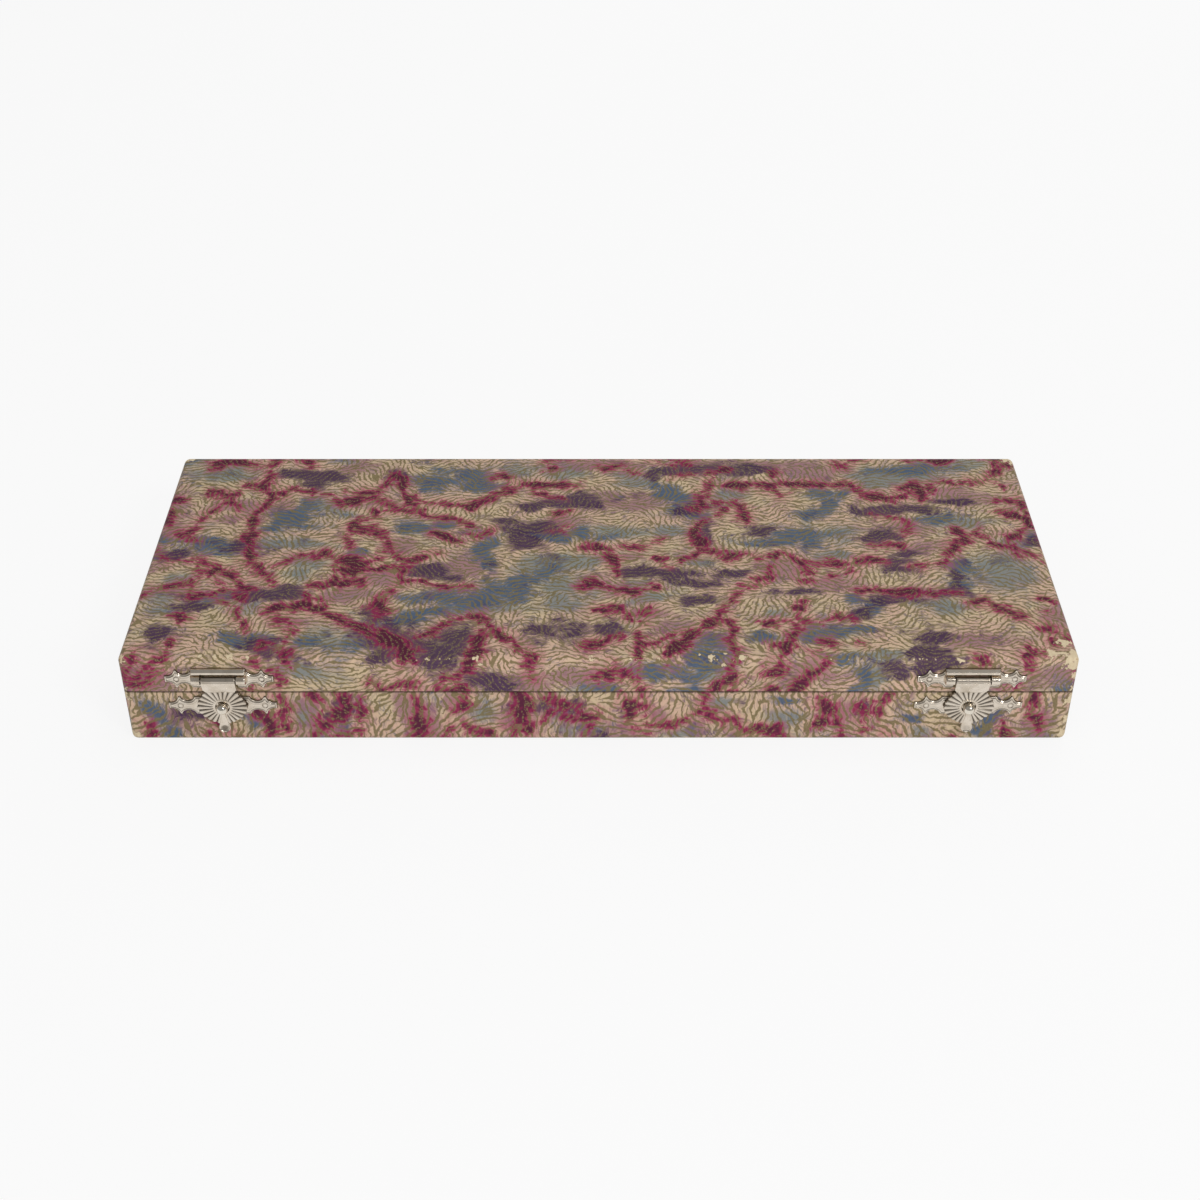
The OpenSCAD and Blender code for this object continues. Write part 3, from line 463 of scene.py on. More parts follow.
# Where the dyes lie on the two sheets, in millimetres on the flat paper. A blot is an ellipse: middle,
# two half-widths and a tilt in degrees. A vein is a line of points, each followed by its half-width.
# On the lid's sheet y runs down over the front edge; on the base's sheet y is the height on its sides.
LID_BLOTS = {
    "grey": [
        (-181, 66, 18, 8, 0), (-193, 74, 8, 5, 0), (-172, 60, 10, 4, 0), (-124, 36, 13, 7, -8),
        (-143, 5, 22, 4, 0), (-115, 30, 7, 4, 0), (-34, 68, 14, 7, 0), (-17, 65, 11, 9, 0),
        (12, 14, 17, 6, -5), (20, 57, 11, 4, 0), (12, 63, 9, 4, 0), (34, 15, 8, 5, 0), (61, 46, 9, 6, 0),
        (140, 63, 22, 10, 3), (168, 72, 20, 7, 0), (130, 55, 10, 5, 0), (111, 13, 10, 9, -40),
        (166, 22, 10, 5, 0), (-185, -22, 9, 4, 30), (-190, -36, 11, 8, 20), (-186, -46, 9, 4, 0),
        (-131, -13, 7, 9, -20), (-150, -44, 8, 6, 0), (-112, -65, 15, 8, 0), (-18, -12, 22, 8, 12),
        (-12, -25, 18, 9, 0), (-15, -38, 11, 8, -40), (14, -26, 9, 4, 0), (43, -10, 9, 4, -20),
        (20, -37, 11, 4, 15), (75, -48, 8, 3, 0), (106, -5, 9, 4, 0), (178, -17, 17, 12, -10),
        (150, -43, 10, 6, 10), (118, -77, 10, 3, 0), (-55, -45, 18, 4, 5), (-127, -84, 12, 5, 0),
        (60, -2, 8, 3, 0), (0, -94, 8, 3, 0), (48, -86, 8, 5, 0), (117, -89, 4, 8, 0), (188, 5, 8, 6, 0)],
    "mauve": [
        (-197, 22, 8, 30, 0), (-165, 36, 12, 7, 0), (-146, 31, 6, 10, 0), (-101, 37, 9, 5, 0),
        (-110, -33, 14, 6, 10), (-97, -22, 8, 7, 0), (-126, -53, 9, 3, 0), (14, 40, 19, 8, 5),
        (-15, 23, 10, 5, 0), (-60, -14, 10, 12, 0), (80, -16, 12, 11, 0), (101, -26, 12, 7, 0),
        (176, 41, 18, 6, 0), (164, 47, 9, 4, 0), (95, 67, 19, 8, 0), (197, -50, 8, 9, 0),
        (30, -56, 9, 5, 20), (158, -67, 16, 5, 0), (14, -6, 5, 4, 0), (-113, 68, 12, 6, 0),
        (-35, -90, 20, 6, 0), (-12, -88, 14, 5, 0), (-190, -88, 12, 9, 0), (-165, 26, 12, 4, 0),
        (-87, 3, 8, 6, -40), (20, -48, 9, 4, 0), (0, 72, 30, 4, 0), (118, 68, 10, 3, 0),
        (140, 20, 14, 5, 0), (150, 2, 14, 5, 0), (60, 73, 30, 3, 0), (-180, -30, 10, 4, 0),
        (88, -86, 14, 8, 0), (185, -88, 14, 6, 0)],
    "blue": [
        (-79, 57, 13, 9, 5), (-60, 57, 13, 10, 0), (-75, 66, 9, 4, 0), (-53, 51, 10, 6, 20),
        (-136, 34, 7, 8, 0), (-140, 25, 11, 7, 20), (-149, 18, 9, 4, 20), (-178, 7, 14, 5, -10),
        (-168, 2, 20, 4, 0), (-84, 17, 12, 5, 0), (-72, 20, 7, 4, 0), (-58, 15, 6, 4, 0),
        (-51, 2, 5, 9, 0), (-22, 12, 15, 6, 0), (-4, 12, 12, 5, -8), (33, 46, 7, 7, -45),
        (41, 41, 8, 6, -30), (28, 53, 4, 4, 0), (39, 34, 8, 5, 0), (45, 29, 6, 3, 0), (102, 46, 10, 5, 10),
        (116, 48, 6, 4, 30), (101, 30, 9, 5, 20), (108, 38, 7, 3, 45), (87, 12, 16, 7, 0),
        (78, 6, 12, 4, 0), (96, 5, 9, 5, 0), (157, 26, 10, 5, 25), (198, 9, 5, 8, 0), (150, 68, 16, 5, 5),
        (-190, -4, 9, 4, 10), (-165, -3, 16, 3, 0), (-108, -2, 6, 3, 0), (-167, -36, 11, 4, 10),
        (-48, -8, 4, 6, 0), (-60, -36, 17, 7, 0), (-44, -34, 14, 8, 15), (-34, -24, 8, 8, 45),
        (-79, -36, 10, 5, 0), (-25, -16, 8, 5, 30), (-72, -47, 11, 4, 8), (-86, -53, 14, 6, 10),
        (-98, -55, 7, 4, 0), (-150, -66, 16, 6, -3), (-158, -62, 7, 4, 0), (-99, -70, 9, 6, 0),
        (-124, -67, 5, 5, 0), (46, -68, 11, 7, 25), (46, -77, 12, 4, 0), (97, -60, 16, 5, 8),
        (90, -66, 7, 4, 0), (111, -58, 6, 3, 0), (117, -43, 7, 5, 40), (110, -38, 4, 4, 0),
        (161, -15, 7, 9, 0), (158, -26, 6, 5, 0), (69, -63, 5, 6, 0), (28, -85, 15, 6, 0),
        (36, -95, 9, 4, 0), (112, -90, 4, 9, 0), (108, -95, 4, 4, 0), (3, -94, 6, 3, 0),
        (45, -81, 10, 4, 0), (100, -77, 8, 3, 0)],
    "plum": [
        (-149, 63, 5, 4, 0), (-134, 62, 15, 5, -4), (-135, 55, 7, 4, 10), (-96, 62, 6, 5, 0),
        (-15, 40, 17, 6, 8), (-31, 36, 8, 4, 15), (-5, 38, 6, 5, 0), (-34, 18, 14, 7, -5),
        (-33, 6, 10, 6, 0), (-42, 23, 7, 3, 0), (40, 68, 19, 4, 3), (60, 67, 14, 5, 0), (25, 64, 4, 5, 0),
        (75, 68, 11, 4, 0), (28, 60, 4, 3, 0), (44, 34, 9, 4, 15), (130, 32, 13, 5, 8), (150, 33, 9, 4, 0),
        (165, 40, 11, 3, 0), (131, 12, 8, 5, 0), (126, 8, 5, 4, 0), (47, 12, 5, 12, 0), (72, 14, 6, 5, 0),
        (-161, 4, 9, 5, 0), (-175, -43, 11, 4, 5), (-190, -5, 9, 4, 10), (-175, -36, 7, 4, 0),
        (-187, -62, 6, 7, 0), (-148, -34, 14, 5, 0), (-134, -32, 11, 4, -8), (-75, -15, 10, 6, 5),
        (-68, -21, 9, 3, 0), (-140, -70, 8, 7, 0), (-130, -75, 5, 5, 0), (-98, -58, 9, 5, -20),
        (-88, -64, 14, 9, -25), (-70, -71, 17, 10, -8), (-60, -64, 12, 8, 0), (-96, -50, 8, 5, -30),
        (20, -17, 14, 4, 3), (36, -18, 11, 5, 0), (38, -25, 14, 4, -5), (62, -17, 10, 3, 15),
        (46, -37, 10, 5, 5), (-18, -62, 13, 7, 0), (5, -57, 6, 7, 0), (-27, -60, 6, 5, 0),
        (130, -36, 17, 6, 5), (146, -33, 13, 4, 0), (157, -22, 5, 8, 0), (133, -13, 9, 4, 0),
        (135, -8, 8, 3, 0), (139, -2, 6, 3, 0), (143, -65, 9, 6, 30), (136, -75, 13, 5, 10),
        (-47, -88, 10, 4, 0), (-42, -94, 7, 3, 0), (126, -86, 4, 3, 0), (123, -81, 6, 3, 0),
        (135, -83, 6, 4, 0), (142, -80, 12, 4, 0), (-70, -79, 13, 5, 0), (-88, -76, 8, 4, 0),
        (85, -32, 10, 3, 0), (52, 68, 10, 3, 0), (112, -48, 6, 4, 40)],
}
LID_VEINS = [
    [-184, 73, 2.5, -180, 75, 3.5, -172, 73, 2.5, -165, 72, 1.5, -160, 69, .3], [-146, 78, .5,
    -141, 76, .8], [-157, 67, .8, -157, 60, 1.8, -159, 55, 3.2, -155, 48, 2.2, -152, 43, 2, -155, 36, 2.2,
    -158, 28, 2, -158, 20, 2.3, -157, 14, 2.3, -159, 9, 2.8, -157, 4, 2.5, -156, -4, 2.8, -154, -10, 2.2,
    -150, -15, 2.2, -146, -20, 1.6, -142, -25, 1], [-166, 53, 2, -160, 54, 2.6], [-183, 47, 1.6,
    -178, 47, 2.6, -172, 45, 2.6, -171, 41, .8, -176, 34, .8, -181, 28, 1, -184, 20, 1, -187, 14, 2.6,
    -192, 13, 1.6], [-187, 13, 1.2, -182, 8, .7], [-170, 38, 1.2, -167, 34, .6], [-152, 48, 2.6,
    -148, 47, 3.2, -144, 50, 1.8, -138, 48, 1.2, -130, 46, 1.1, -126, 45, .7], [-121, 40, 2.6,
    -113, 40, 3.3, -106, 42, 2], [-118, 48, .8, -110, 47, 1.8, -104, 48, 2.2, -99, 54, 1.4, -98, 62, 1.8],
    [-95, 58, 2, -92, 57, 2.8, -92, 50, 1.8, -90, 44, 1.8, -87, 38, 1.8, -85, 33, 1.8, -80, 28, 2.2,
    -74, 26, 1.3, -66, 24, 1, -58, 19, .9, -52, 17, .4], [-86, 43, .8, -80, 40, .9, -73, 38, .9,
    -66, 37, 1, -60, 36, 3.3, -55, 38, 1.9, -50, 43, 1.4, -46, 47, 2, -43, 52, 1, -42, 58, .8,
    -46, 62, 1.8, -50, 61, 2.4], [-104, 41, .7, -98, 36, 1.3, -94, 33, .8], [-105, 32, .8, -98, 32, .8,
    -90, 32, 1.3, -85, 32, 1.3], [-104, 32, 1.3, -103, 26, .8, -109, 24, 2.2, -112, 20, 2.8, -107, 16, 2.8,
    -103, 17, 2, -100, 13, 2, -96, 8, .9, -94, 2, 1.3, -92, -3, .8, -88, -6, 1.8, -84, -8, 2.2,
    -78, -4, .9, -72, -2, 1.3], [-112, 20, 1.8, -113, 13, 1.3, -113, 6, 1.2, -112, 1, .8], [-44, 47, 1.8,
    -40, 50, .9, -36, 54, 1.8, -31, 53, 2.8, -25, 54, 2.4, -18, 54, 1.8, -10, 54, 1.1], [-30, 48, .8,
    -24, 44, 1, -18, 42, .6], [-22, 69, 2.4], [-25, 74, .7], [2, 69, 2.4, 8, 71, 1.8], [11, 73, .8],
    [-18, 29, 2.4, -14, 32, .8], [-74, 13, 1.8, -68, 11, 2.7, -64, 8, 1.7], [-60, 12, .8, -54, 12, .9,
    -48, 17, .8], [-23, 16, .8, -18, 16, 1, -14, 20, .6], [12, 67, .8, 20, 63, .5], [35, 61, .7,
    42, 65, .8, 50, 63, .5, 56, 66, 1.3, 60, 67, 3], [54, 60, .5, 52, 53, .8, 49, 46, 1.8, 49, 40, 2.2,
    45, 35, 2.2], [56, 40, .6, 52, 36, .6, 48, 34, 1.2], [58, 32, .6, 53, 27, .8, 48, 22, 1.3, 45, 18, 1.8,
    43, 13, 2.4, 47, 8, 2.6, 46, 2, 2.7, 42, -3, 2.3, 37, -6, 1.2], [83, 62, 1.2, 83, 66, 1.5],
    [83, 48, 1.7, 85, 45, 1.1, 90, 48, .8], [60, 53, 1.8, 66, 54, 3.3, 73, 53, 2.3, 80, 53, 1.8,
    90, 55, 2.2, 100, 55, 1.7, 110, 54, 1.2, 118, 54, 2.6, 122, 50, .9, 127, 45, 3.4, 132, 43, 3,
    138, 41, 2.4, 143, 43, 1.8], [143, 50, 2.6, 148, 54, 2.6, 150, 48, 4.4, 152, 43, 1.8, 158, 54, 1.8,
    163, 57, 1.8, 170, 55, .8, 178, 57, 1.3, 185, 58, 1.3, 190, 53, 1.3], [185, 60, .8, 189, 66, 1.7,
    191, 73, 1.7, 196, 72, 2], [62, 38, 1.8, 66, 35, 2.6, 66, 28, 2.2, 68, 22, .8], [126, 28, .8,
    133, 27, 1.2, 140, 26, 1.2, 142, 22, 1.8, 141, 16, 1.2, 138, 12, .7], [163, 14, 2.6, 165, 10, 2.6,
    160, 3, 2.6, 157, -2, 1.8, 156, -8, 1.3, 153, -11, 1.2, 145, -11, .8, 138, -12, .8], [165, 12, 1.8,
    172, 13, 1.2, 175, 11, 1.7, 177, 7, 1.2, 183, 3, 2.2, 188, 0, 1.2, 193, -3, .9, 198, -8, .8],
    [172, 14, .8, 176, 18, .8], [125, 3, 1.2, 131, 5, 1.7, 137, 4, .8], [186, 30, 1.8, 191, 29, 2.6,
    196, 25, 1.8, 198, 18, 1.2], [196, 40, 1.2, 197, 30, .8], [-199, -2, .8, -192, -7, .8, -184, -8, .9,
    -180, -6, .9, -174, -9, .8, -168, -13, .8], [-175, -16, 2.6, -168, -17, 3.2, -162, -19, 2.6,
    -158, -24, 1.8, -155, -28, 1.8, -150, -31, .8], [-168, -24, .8, -160, -24, 1], [-199, -36, .5,
    -193, -29, .8, -185, -26, .8, -179, -25, 1.3, -178, -30, 1, -179, -36, 1.2], [-178, -35, 1.8,
    -170, -33, 1.2, -163, -31, 1.2, -158, -31, .8], [-156, -36, 2.8], [-163, -39, .6, -158, -43, 1,
    -155, -49, 1.1, -152, -54, 1.1, -150, -60, .6], [-179, -49, 2, -176, -51, 2.4], [-179, -65, .6,
    -180, -67, .9, -181, -72, 1.3, -182, -79, .9], [-144, -12, 1, -141, -10, 1.3, -137, -6, 1.3,
    -130, -4, 1, -124, -2, 1.3, -118, -4, 1.3, -116, -9, .8, -118, -14, .8, -116, -20, 1.3, -114, -25, 1.8,
    -120, -28, 1.8, -126, -27, 1.7], [-116, -3, .8, -112, -8, 2.6, -106, -11, 3.6, -101, -8, 1.8,
    -97, -4, 1.3, -96, 2, 1.8], [-112, -16, 3, -105, -15, 2.2, -98, -14, 1.2, -90, -13, 1.8, -86, -14, 1.7,
    -87, -20, 1.2, -86, -26, .8, -80, -24, 1.2, -73, -27, 1.8, -66, -29, .8], [-117, -24, .9,
    -112, -26, 2.2, -106, -24, 3.2, -110, -28, 1.7], [-90, -31, .8, -93, -36, 1.7, -96, -41, 3,
    -101, -43, 1.3], [-93, -42, 2.6, -92, -47, 2.6, -94, -50, 1.2], [-140, -44, 3.6, -133, -43, 2.8,
    -127, -42, 3.4, -120, -44, 2.6, -115, -48, 2.2, -110, -53, 1.8, -105, -55, 2.2, -100, -58, 2.4,
    -96, -62, 2.8, -90, -66, 4.6, -83, -69, 5.4, -80, -76, 4.5], [-138, -52, 2.4, -133, -52, 1.8],
    [-130, -55, .8, -131, -61, .9, -133, -67, .9, -131, -73, 2.2, -130, -79, 1.8], [-140, -70, 2.6],
    [-124, -36, .9, -126, -34, .8, -120, -38, .8], [-75, -64, 1.8, -70, -61, 2.2, -66, -56, 1.3,
    -62, -51, 1.8, -56, -48, 1.8, -50, -50, 1.8, -47, -54, 1.8, -50, -60, 1.3, -50, -67, 2.7,
    -51, -73, 3.6, -53, -79, 3.2, -56, -85, 2.8, -61, -88, 1.8, -65, -88, 1.6], [-48, -55, 1.3,
    -43, -61, 1.8, -40, -63, 1.8, -37, -67, .8, -32, -72, 1.3, -29, -76, 1.8, -29, -84, 1.2, -27, -89, .8],
    [-63, -28, .9, -57, -28, 1.2], [-5, 2, 2.6, 0, 1, 2.6, 5, 0, 1.8, 7, -7, 3.2, 8, -13, 1.3, 8, -18, .6],
    [10, 2, 1.2, 18, 1, .8, 23, 4, .8, 28, 8, .7], [-7, -27, 1.7, -2, -26, 3, 3, -28, 1.8, 8, -31, 3.2,
    14, -32, 2.6, 20, -29, .9, 26, -27, .7], [27, -6, 2, 31, -12, .6], [-1, -46, 1.2, 3, -46, 2.2,
    9, -44, 1.8, 13, -48, 1.3, 18, -50, 1.2, 22, -46, 1, 22, -43, .5], [14, -52, .8, 19, -54, .8],
    [60, -33, .5, 57, -40, .8, 54, -46, 1.2, 52, -50, 1.1, 48, -55, 3.6, 43, -58, 2.2, 38, -64, 3.2,
    33, -70, 3.2, 30, -77, 2.8], [55, -52, 1.1, 57, -60, 1.3, 55, -66, 2.2, 57, -72, .9, 57, -79, 1,
    54, -84, 1.6, 56, -89, 2.6, 52, -91, 1.8, 49, -95, 2.2], [56, -95, 1.6], [8, -63, 1.3, 2, -67, 2.2,
    -4, -70, 3.6, -5, -73, 1.8], [17, -60, .6, 18, -66, 2.2, 16, -72, 1.3, 17, -78, 1.2], [22, -69, .8,
    29, -65, 1.3, 33, -62, .8], [50, 0, 1.2, 57, -4, 2.2, 62, -5, 2.2, 66, -3, .9, 72, -6, .9],
    [78, -4, 1.8, 83, -3, 1.2, 88, -8, 1.8, 90, -11, 1.8, 92, -17, 1.8], [77, -10, .8, 76, -15, 1.2,
    74, -20, 1.3, 68, -25, 1.8, 63, -27, 1.8], [91, -24, 2.4], [95, -11, .9, 99, -10, .8, 103, -10, 2.6,
    110, -10, .9, 116, -8, 1.2, 123, -8, 2.6, 128, -10, .8], [103, -21, 1.8], [112, -14, .6, 111, -17, .5],
    [88, -39, .6, 86, -44, 1.2, 85, -48, 1.3, 84, -53, 1, 85, -57, 1.1, 82, -63, 1.8, 81, -68, 1.3,
    78, -73, 2.2, 77, -79, 1.8, 70, -86, 1.6], [67, -53, .9, 74, -54, 2.1, 80, -52, .9, 88, -51, .9,
    95, -53, 1.3, 102, -51, 1.3, 106, -50, 1.3, 109, -52, 1], [97, -69, 3.5], [110, -68, .7],
    [74, -70, 2.3], [91, -74, 1.6], [160, -39, 1.8, 165, -39, 2.2, 168, -38, .9, 172, -44, 2.2,
    178, -47, 2.6, 182, -52, 1.2, 188, -57, 1.7, 194, -62, 1.2], [112, -31, .8, 118, -31, 1.6,
    130, -32, 2.2, 138, -32, 2.2, 146, -32, 1.6, 152, -31, 1.3, 158, -33, .8], [180, -72, 1.3,
    184, -73, 1.7, 176, -78, 1.7], [157, -76, 1.3], [192, -37, .8, 197, -39, .8], [193, -46, .5],
    [-199, -86, 1.6, -193, -87, 1.8, -187, -82, 1.3, -184, -79, .8], [-196, -92, 1.4, -190, -89, 1.8,
    -185, -84, 1.3], [-142, -80, 1.8], [-136, -85, 1.8, -134, -89, 1.3, -136, -92, .8], [-145, -95, 1.6],
    [-93, -92, 1.3, -92, -95, 1.8, -88, -94, 1.8, -83, -93, 2.2, -79, -90, 2.2, -77, -93, .9],
    [-96, -91, .8], [-69, -94, 1.3, -64, -95, 1.3, -58, -94, 1.3, -54, -96, .6], [-2, -88, .9, 0, -85, .9,
    4, -87, 2.2, 7, -82, 1.3, 11, -85, 2.2, 10, -89, 1.3], [15, -89, .6, 15, -93, .7, 19, -95, .9],
    [10, -95, .9], [70, -86, 1.6, 75, -86, 1.8], [73, -94, 2.2], [82, -95, 1.8, 84, -91, 2.6, 86, -87, 1.8,
    91, -84, 2.2, 93, -80, 1.8], [171, -93, 1.2, 175, -94, .9], [178, -81, 1.2, 180, -85, .8],
    [158, -79, 2.4],
]
BASE_BLOTS = {
    "grey": [
        (-125, 14, 5, 6, 0), (-20, 17, 4, 8, 0), (-14, 5, 6, 5, 0), (80, 12, 10, 4, 0), (-50, 16, 8, 5, 0),
        (50, 20, 6, 4, 0), (138, 4, 5, 4, 0), (76, 6, 6, 4, 0), (190, 3, 6, 4, 0), (35, 4, 6, 3, 0)],
    "mauve": [
        (-84, 18, 5, 9, 0), (-75, 12, 8, 12, 0), (27, 14, 4, 4, 0), (10, 5, 12, 6, 0), (185, 9, 9, 9, 0),
        (40, 6, 6, 4, 0), (105, 14, 6, 9, 0), (-178, 12, 5, 8, 0), (-118, 8, 8, 6, 0), (-35, 10, 8, 9, 0),
        (-62, 20, 5, 5, 0), (56, 2, 5, 4, 0), (-124, 20, 6, 4, 0)],
    "blue": [
        (-188, 15, 6, 8, 0), (-186, 4, 5, 4, 0), (-101, 18, 3, 7, 0), (-108, 5, 5, 5, 0),
        (-140, 4, 4, 5, 0), (-5, 6, 5, 6, 0), (-14, 15, 4, 3, 0), (77, 22, 9, 3, 0), (168, 14, 5, 8, 0),
        (135, 12, 5, 3, 0), (165, 4, 5, 4, 0), (-145, 12, 5, 5, 0)],
    "plum": [
        (-7, 16, 4, 6, 0), (-13, 19, 5, 3, 0), (-108, 22, 4, 4, 0), (-106, 17, 5, 4, 0),
        (-111, 12, 4, 3, 0), (-172, 16, 5, 4, -40), (-31, 20, 5, 6, 0), (-23, 21, 3, 5, 0),
        (112, 17, 3, 5, 0)],
}
BASE_VEINS = [
    [-191, 10, 1.2, -191, 4, 2.6], [-147, 20, 1.8, -142, 14, 2.6, -140, 10, 2.6, -140, 4, 2.2],
    [-136, 23, .9, -131, 18, 1.3, -135, 15, 1.8, -133, 10, 1.8, -131, 5, 1], [-120, 25, 1.3, -119, 23, 1.3,
    -117, 19, .9, -117, 14, 1.2], [-108, 24, 2.2, -106, 20, 2.6, -104, 18, 2.4, -110, 13, 2.6,
    -113, 10, 1.8, -118, 6, 1.8, -122, 3, .9], [-78, 23, .9, -75, 18, 2.2, -76, 12, 3, -75, 6, 3,
    -77, 2, 2.6], [-166, 4, 1.2], [-63, 8, .9, -65, 2, .9], [-56, 25, .8, -56, 18, 1, -59, 15, .8],
    [-57, 8, .9, -52, 5, 1.8, -47, 3, 2.2], [-34, 24, 2.6, -31, 19, 3.2, -33, 12, 2.6, -31, 5, 2.6],
    [-22, 22, 1.2, -21, 17, 1.2, -24, 12, .9], [-20, 24, .8, -14, 19, 2.4, -8, 20, 1.2, -6, 14, 2.6,
    0, 13, 1.7], [-14, 13, 1.8, -9, 12, 1.2], [10, 25, .8, 12, 20, 1.8, 14, 15, 3, 13, 10, .8],
    [19, 25, 1.8, 20, 20, .9, 20, 12, 1.3, 22, 8, 2.2, 28, 8, 1.8, 33, 9, .8, 38, 12, .7, 43, 16, .8],
    [16, 19, 2.6], [16, 8, .8, 21, 4, 1.3], [44, 25, .5, 43, 18, .8, 47, 14, 1, 52, 11, 1.8, 58, 10, 2.2,
    63, 6, 1.3, 66, 6, 1.2], [68, 7, 1.8, 71, 4, 1.8, 76, 2, 1.3], [94, 24, 2.6, 97, 18, 3, 96, 12, 2.6,
    93, 9, 1.3], [100, 15, .9, 102, 8, 1.7, 103, 3, 2.2], [111, 20, 1.8, 113, 15, 1.8, 112, 10, .9,
    113, 6, 1.3], [116, 19, 1.8, 118, 14, 1.3], [122, 5, .9, 125, 3, .6], [119, 21, .9, 123, 25, .6],
    [172, 8, 1.8, 173, 3, 2.6, 177, 3, 1], [183, 24, 1.8, 184, 20, 1.8, 182, 14, .8, 185, 12, .8],
    [188, 12, .8, 188, 6, .8], [150, 2, .9],
]


def scattered(seed, box, avoid, blots, veins):
    """More blots and veins for the sides that the photograph doesn't show, thrown at random in a box,
    about one of each on 260 square millimetres, but not where the photograph's own lie."""
    rng = np.random.default_rng(seed)
    x0, x1, y0, y1 = box
    more_blots = {key: list(value) for key, value in blots.items()}
    more_veins = list(veins)
    for _ in range(int((x1 - x0) * (y1 - y0) / 260)):
        x, y = rng.uniform(x0, x1), rng.uniform(y0, y1)
        long, short, tilt = rng.uniform(6, 16), rng.uniform(4, 8), rng.uniform(-25, 25)
        kind = BLOT_DYES[rng.integers(len(BLOT_DYES))]
        heading, width = rng.uniform(0, 6.28), rng.uniform(0.6, 2.0)
        if avoid[0] < x < avoid[1] and avoid[2] < y < avoid[3]:
            continue
        more_blots[kind].append((x, y, long, short, tilt))
        vein = []
        for _ in range(rng.integers(2, 7)):
            vein += [x, y, max(width + rng.uniform(-0.8, 1.2), 0.5)]
            heading += rng.uniform(-0.8, 0.8)
            x, y = x + 7 * math.cos(heading), y + 7 * math.sin(heading)
        more_veins.append(vein)
    return more_blots, more_veins


def dye_values(flat, blots, veins):
    """Dyes at points of the flat sheet. A blot is a hill 1 / (1 + r^4) that is one half on its ellipse.
    A vein is its half-width less the distance to its line. The places are bent by a slow noise first."""
    x, y = flat[..., 0], flat[..., 1]
    bent_x = x + 2.4 * value_noise(x / 9, y / 6, 31) + 1.2 * value_noise(x / 3.5, y / 2.4, 32)
    bent_y = y + 1.6 * value_noise(x / 9, y / 6, 33) + 0.8 * value_noise(x / 3.5, y / 2.4, 34)
    values = {}
    for key, ellipses in blots.items():
        value = np.zeros(x.shape)
        for ex, ey, long, short, tilt in ellipses:
            c, s = math.cos(math.radians(tilt)), math.sin(math.radians(tilt))
            u = ((bent_x - ex) * c + (bent_y - ey) * s) / long
            v = ((bent_y - ey) * c - (bent_x - ex) * s) / short
            value = np.maximum(value, 1 / (1 + (u * u + v * v) ** 2))
        values[key] = value
    bent_x = x + 1.3 * value_noise(x / 6, y / 6, 35)
    bent_y = y + 1.3 * value_noise(x / 6, y / 6, 36)
    depth = np.full(x.shape, -30.0)
    for vein in veins:
        points = np.reshape(vein, (-1, 3)).astype(float)
        for a, b in zip(points, np.concatenate([points[1:], points[-1:]])):
            step = b[:2] - a[:2]
            t = ((bent_x - a[0]) * step[0] + (bent_y - a[1]) * step[1]) / max(step @ step, 1e-6)
            t = np.clip(t, 0, 1)
            far = np.hypot(bent_x - a[0] - t * step[0], bent_y - a[1] - t * step[1])
            depth = np.maximum(depth, a[2] + (b[2] - a[2]) * t - far)
    values["vein"] = depth
    return values


# ---------------------------------------------------------------- papered case

def side_samples(half, breaks=()):
    """Positions from -half to half, closer together near both ends and exact at the breaks."""
    step = 1.2
    even = np.linspace(-half, half, int(half / step) * 2 + 1)
    near = half - np.array([0.0, 0.35, 0.8, 1.4, 2.2])
    return np.unique(np.round(np.concatenate([even, near, -near, np.array(breaks, float)]), 4))


LEAF_HALF = 15.05  # half a hinge leaf's width, with play
HINGE_X = float(corners("base_hinge_leaf_right")[0][0] + 15.0)
LEAF_FRONT = HINGE_AXIS[1] - 4.25
LEAF_DEEP = 2.6
BACK_INSET = DEPTH / 2 - HINGE_AXIS[1]
HINGE_BREAKS = [s * HINGE_X + e * LEAF_HALF for s in (-1, 1) for e in (-1, 1)]
XS = side_samples(WIDTH / 2 - CORNER_R, HINGE_BREAKS)
YS = side_samples(DEPTH / 2 - CORNER_R)
ARC_STEPS = 5
ARC = np.radians(np.linspace(0, 45, ARC_STEPS + 1)[1:])


def sides():
    """The four upright sides as paths seen from above, each from mid-corner to mid-corner.

    Yields centres c, outward normals n and the arc length a along the outside: a point at the
    inset o is c + (r - o) n, and past the corner's radius it is held inside the smaller rectangle.
    """
    for turn, half, reach in ((0, XS, DEPTH), (1, YS, WIDTH), (2, XS, DEPTH), (3, YS, WIDTH)):
        tilt = np.concatenate([-ARC[::-1], np.zeros(len(half)), ARC])
        along = np.concatenate([np.full(ARC_STEPS, half[0]), half, np.full(ARC_STEPS, half[-1])])
        c = np.stack([along, np.full(len(along), -(reach / 2 - CORNER_R))], -1)
        n = np.stack([np.sin(tilt), -np.cos(tilt)], -1)
        a = along + tilt * CORNER_R
        for _ in range(turn):
            c, n = np.stack([-c[:, 1], c[:, 0]], -1), np.stack([-n[:, 1], n[:, 0]], -1)
        yield turn, c, n, a


def inset(c, n, o):
    """Points of a side's path at the inset o."""
    p = c + max(CORNER_R - o, 0.0) * n
    reach = np.array([WIDTH / 2 - max(o, CORNER_R), DEPTH / 2 - max(o, CORNER_R)])
    return np.where(o > CORNER_R, np.clip(p, -reach, reach), p)


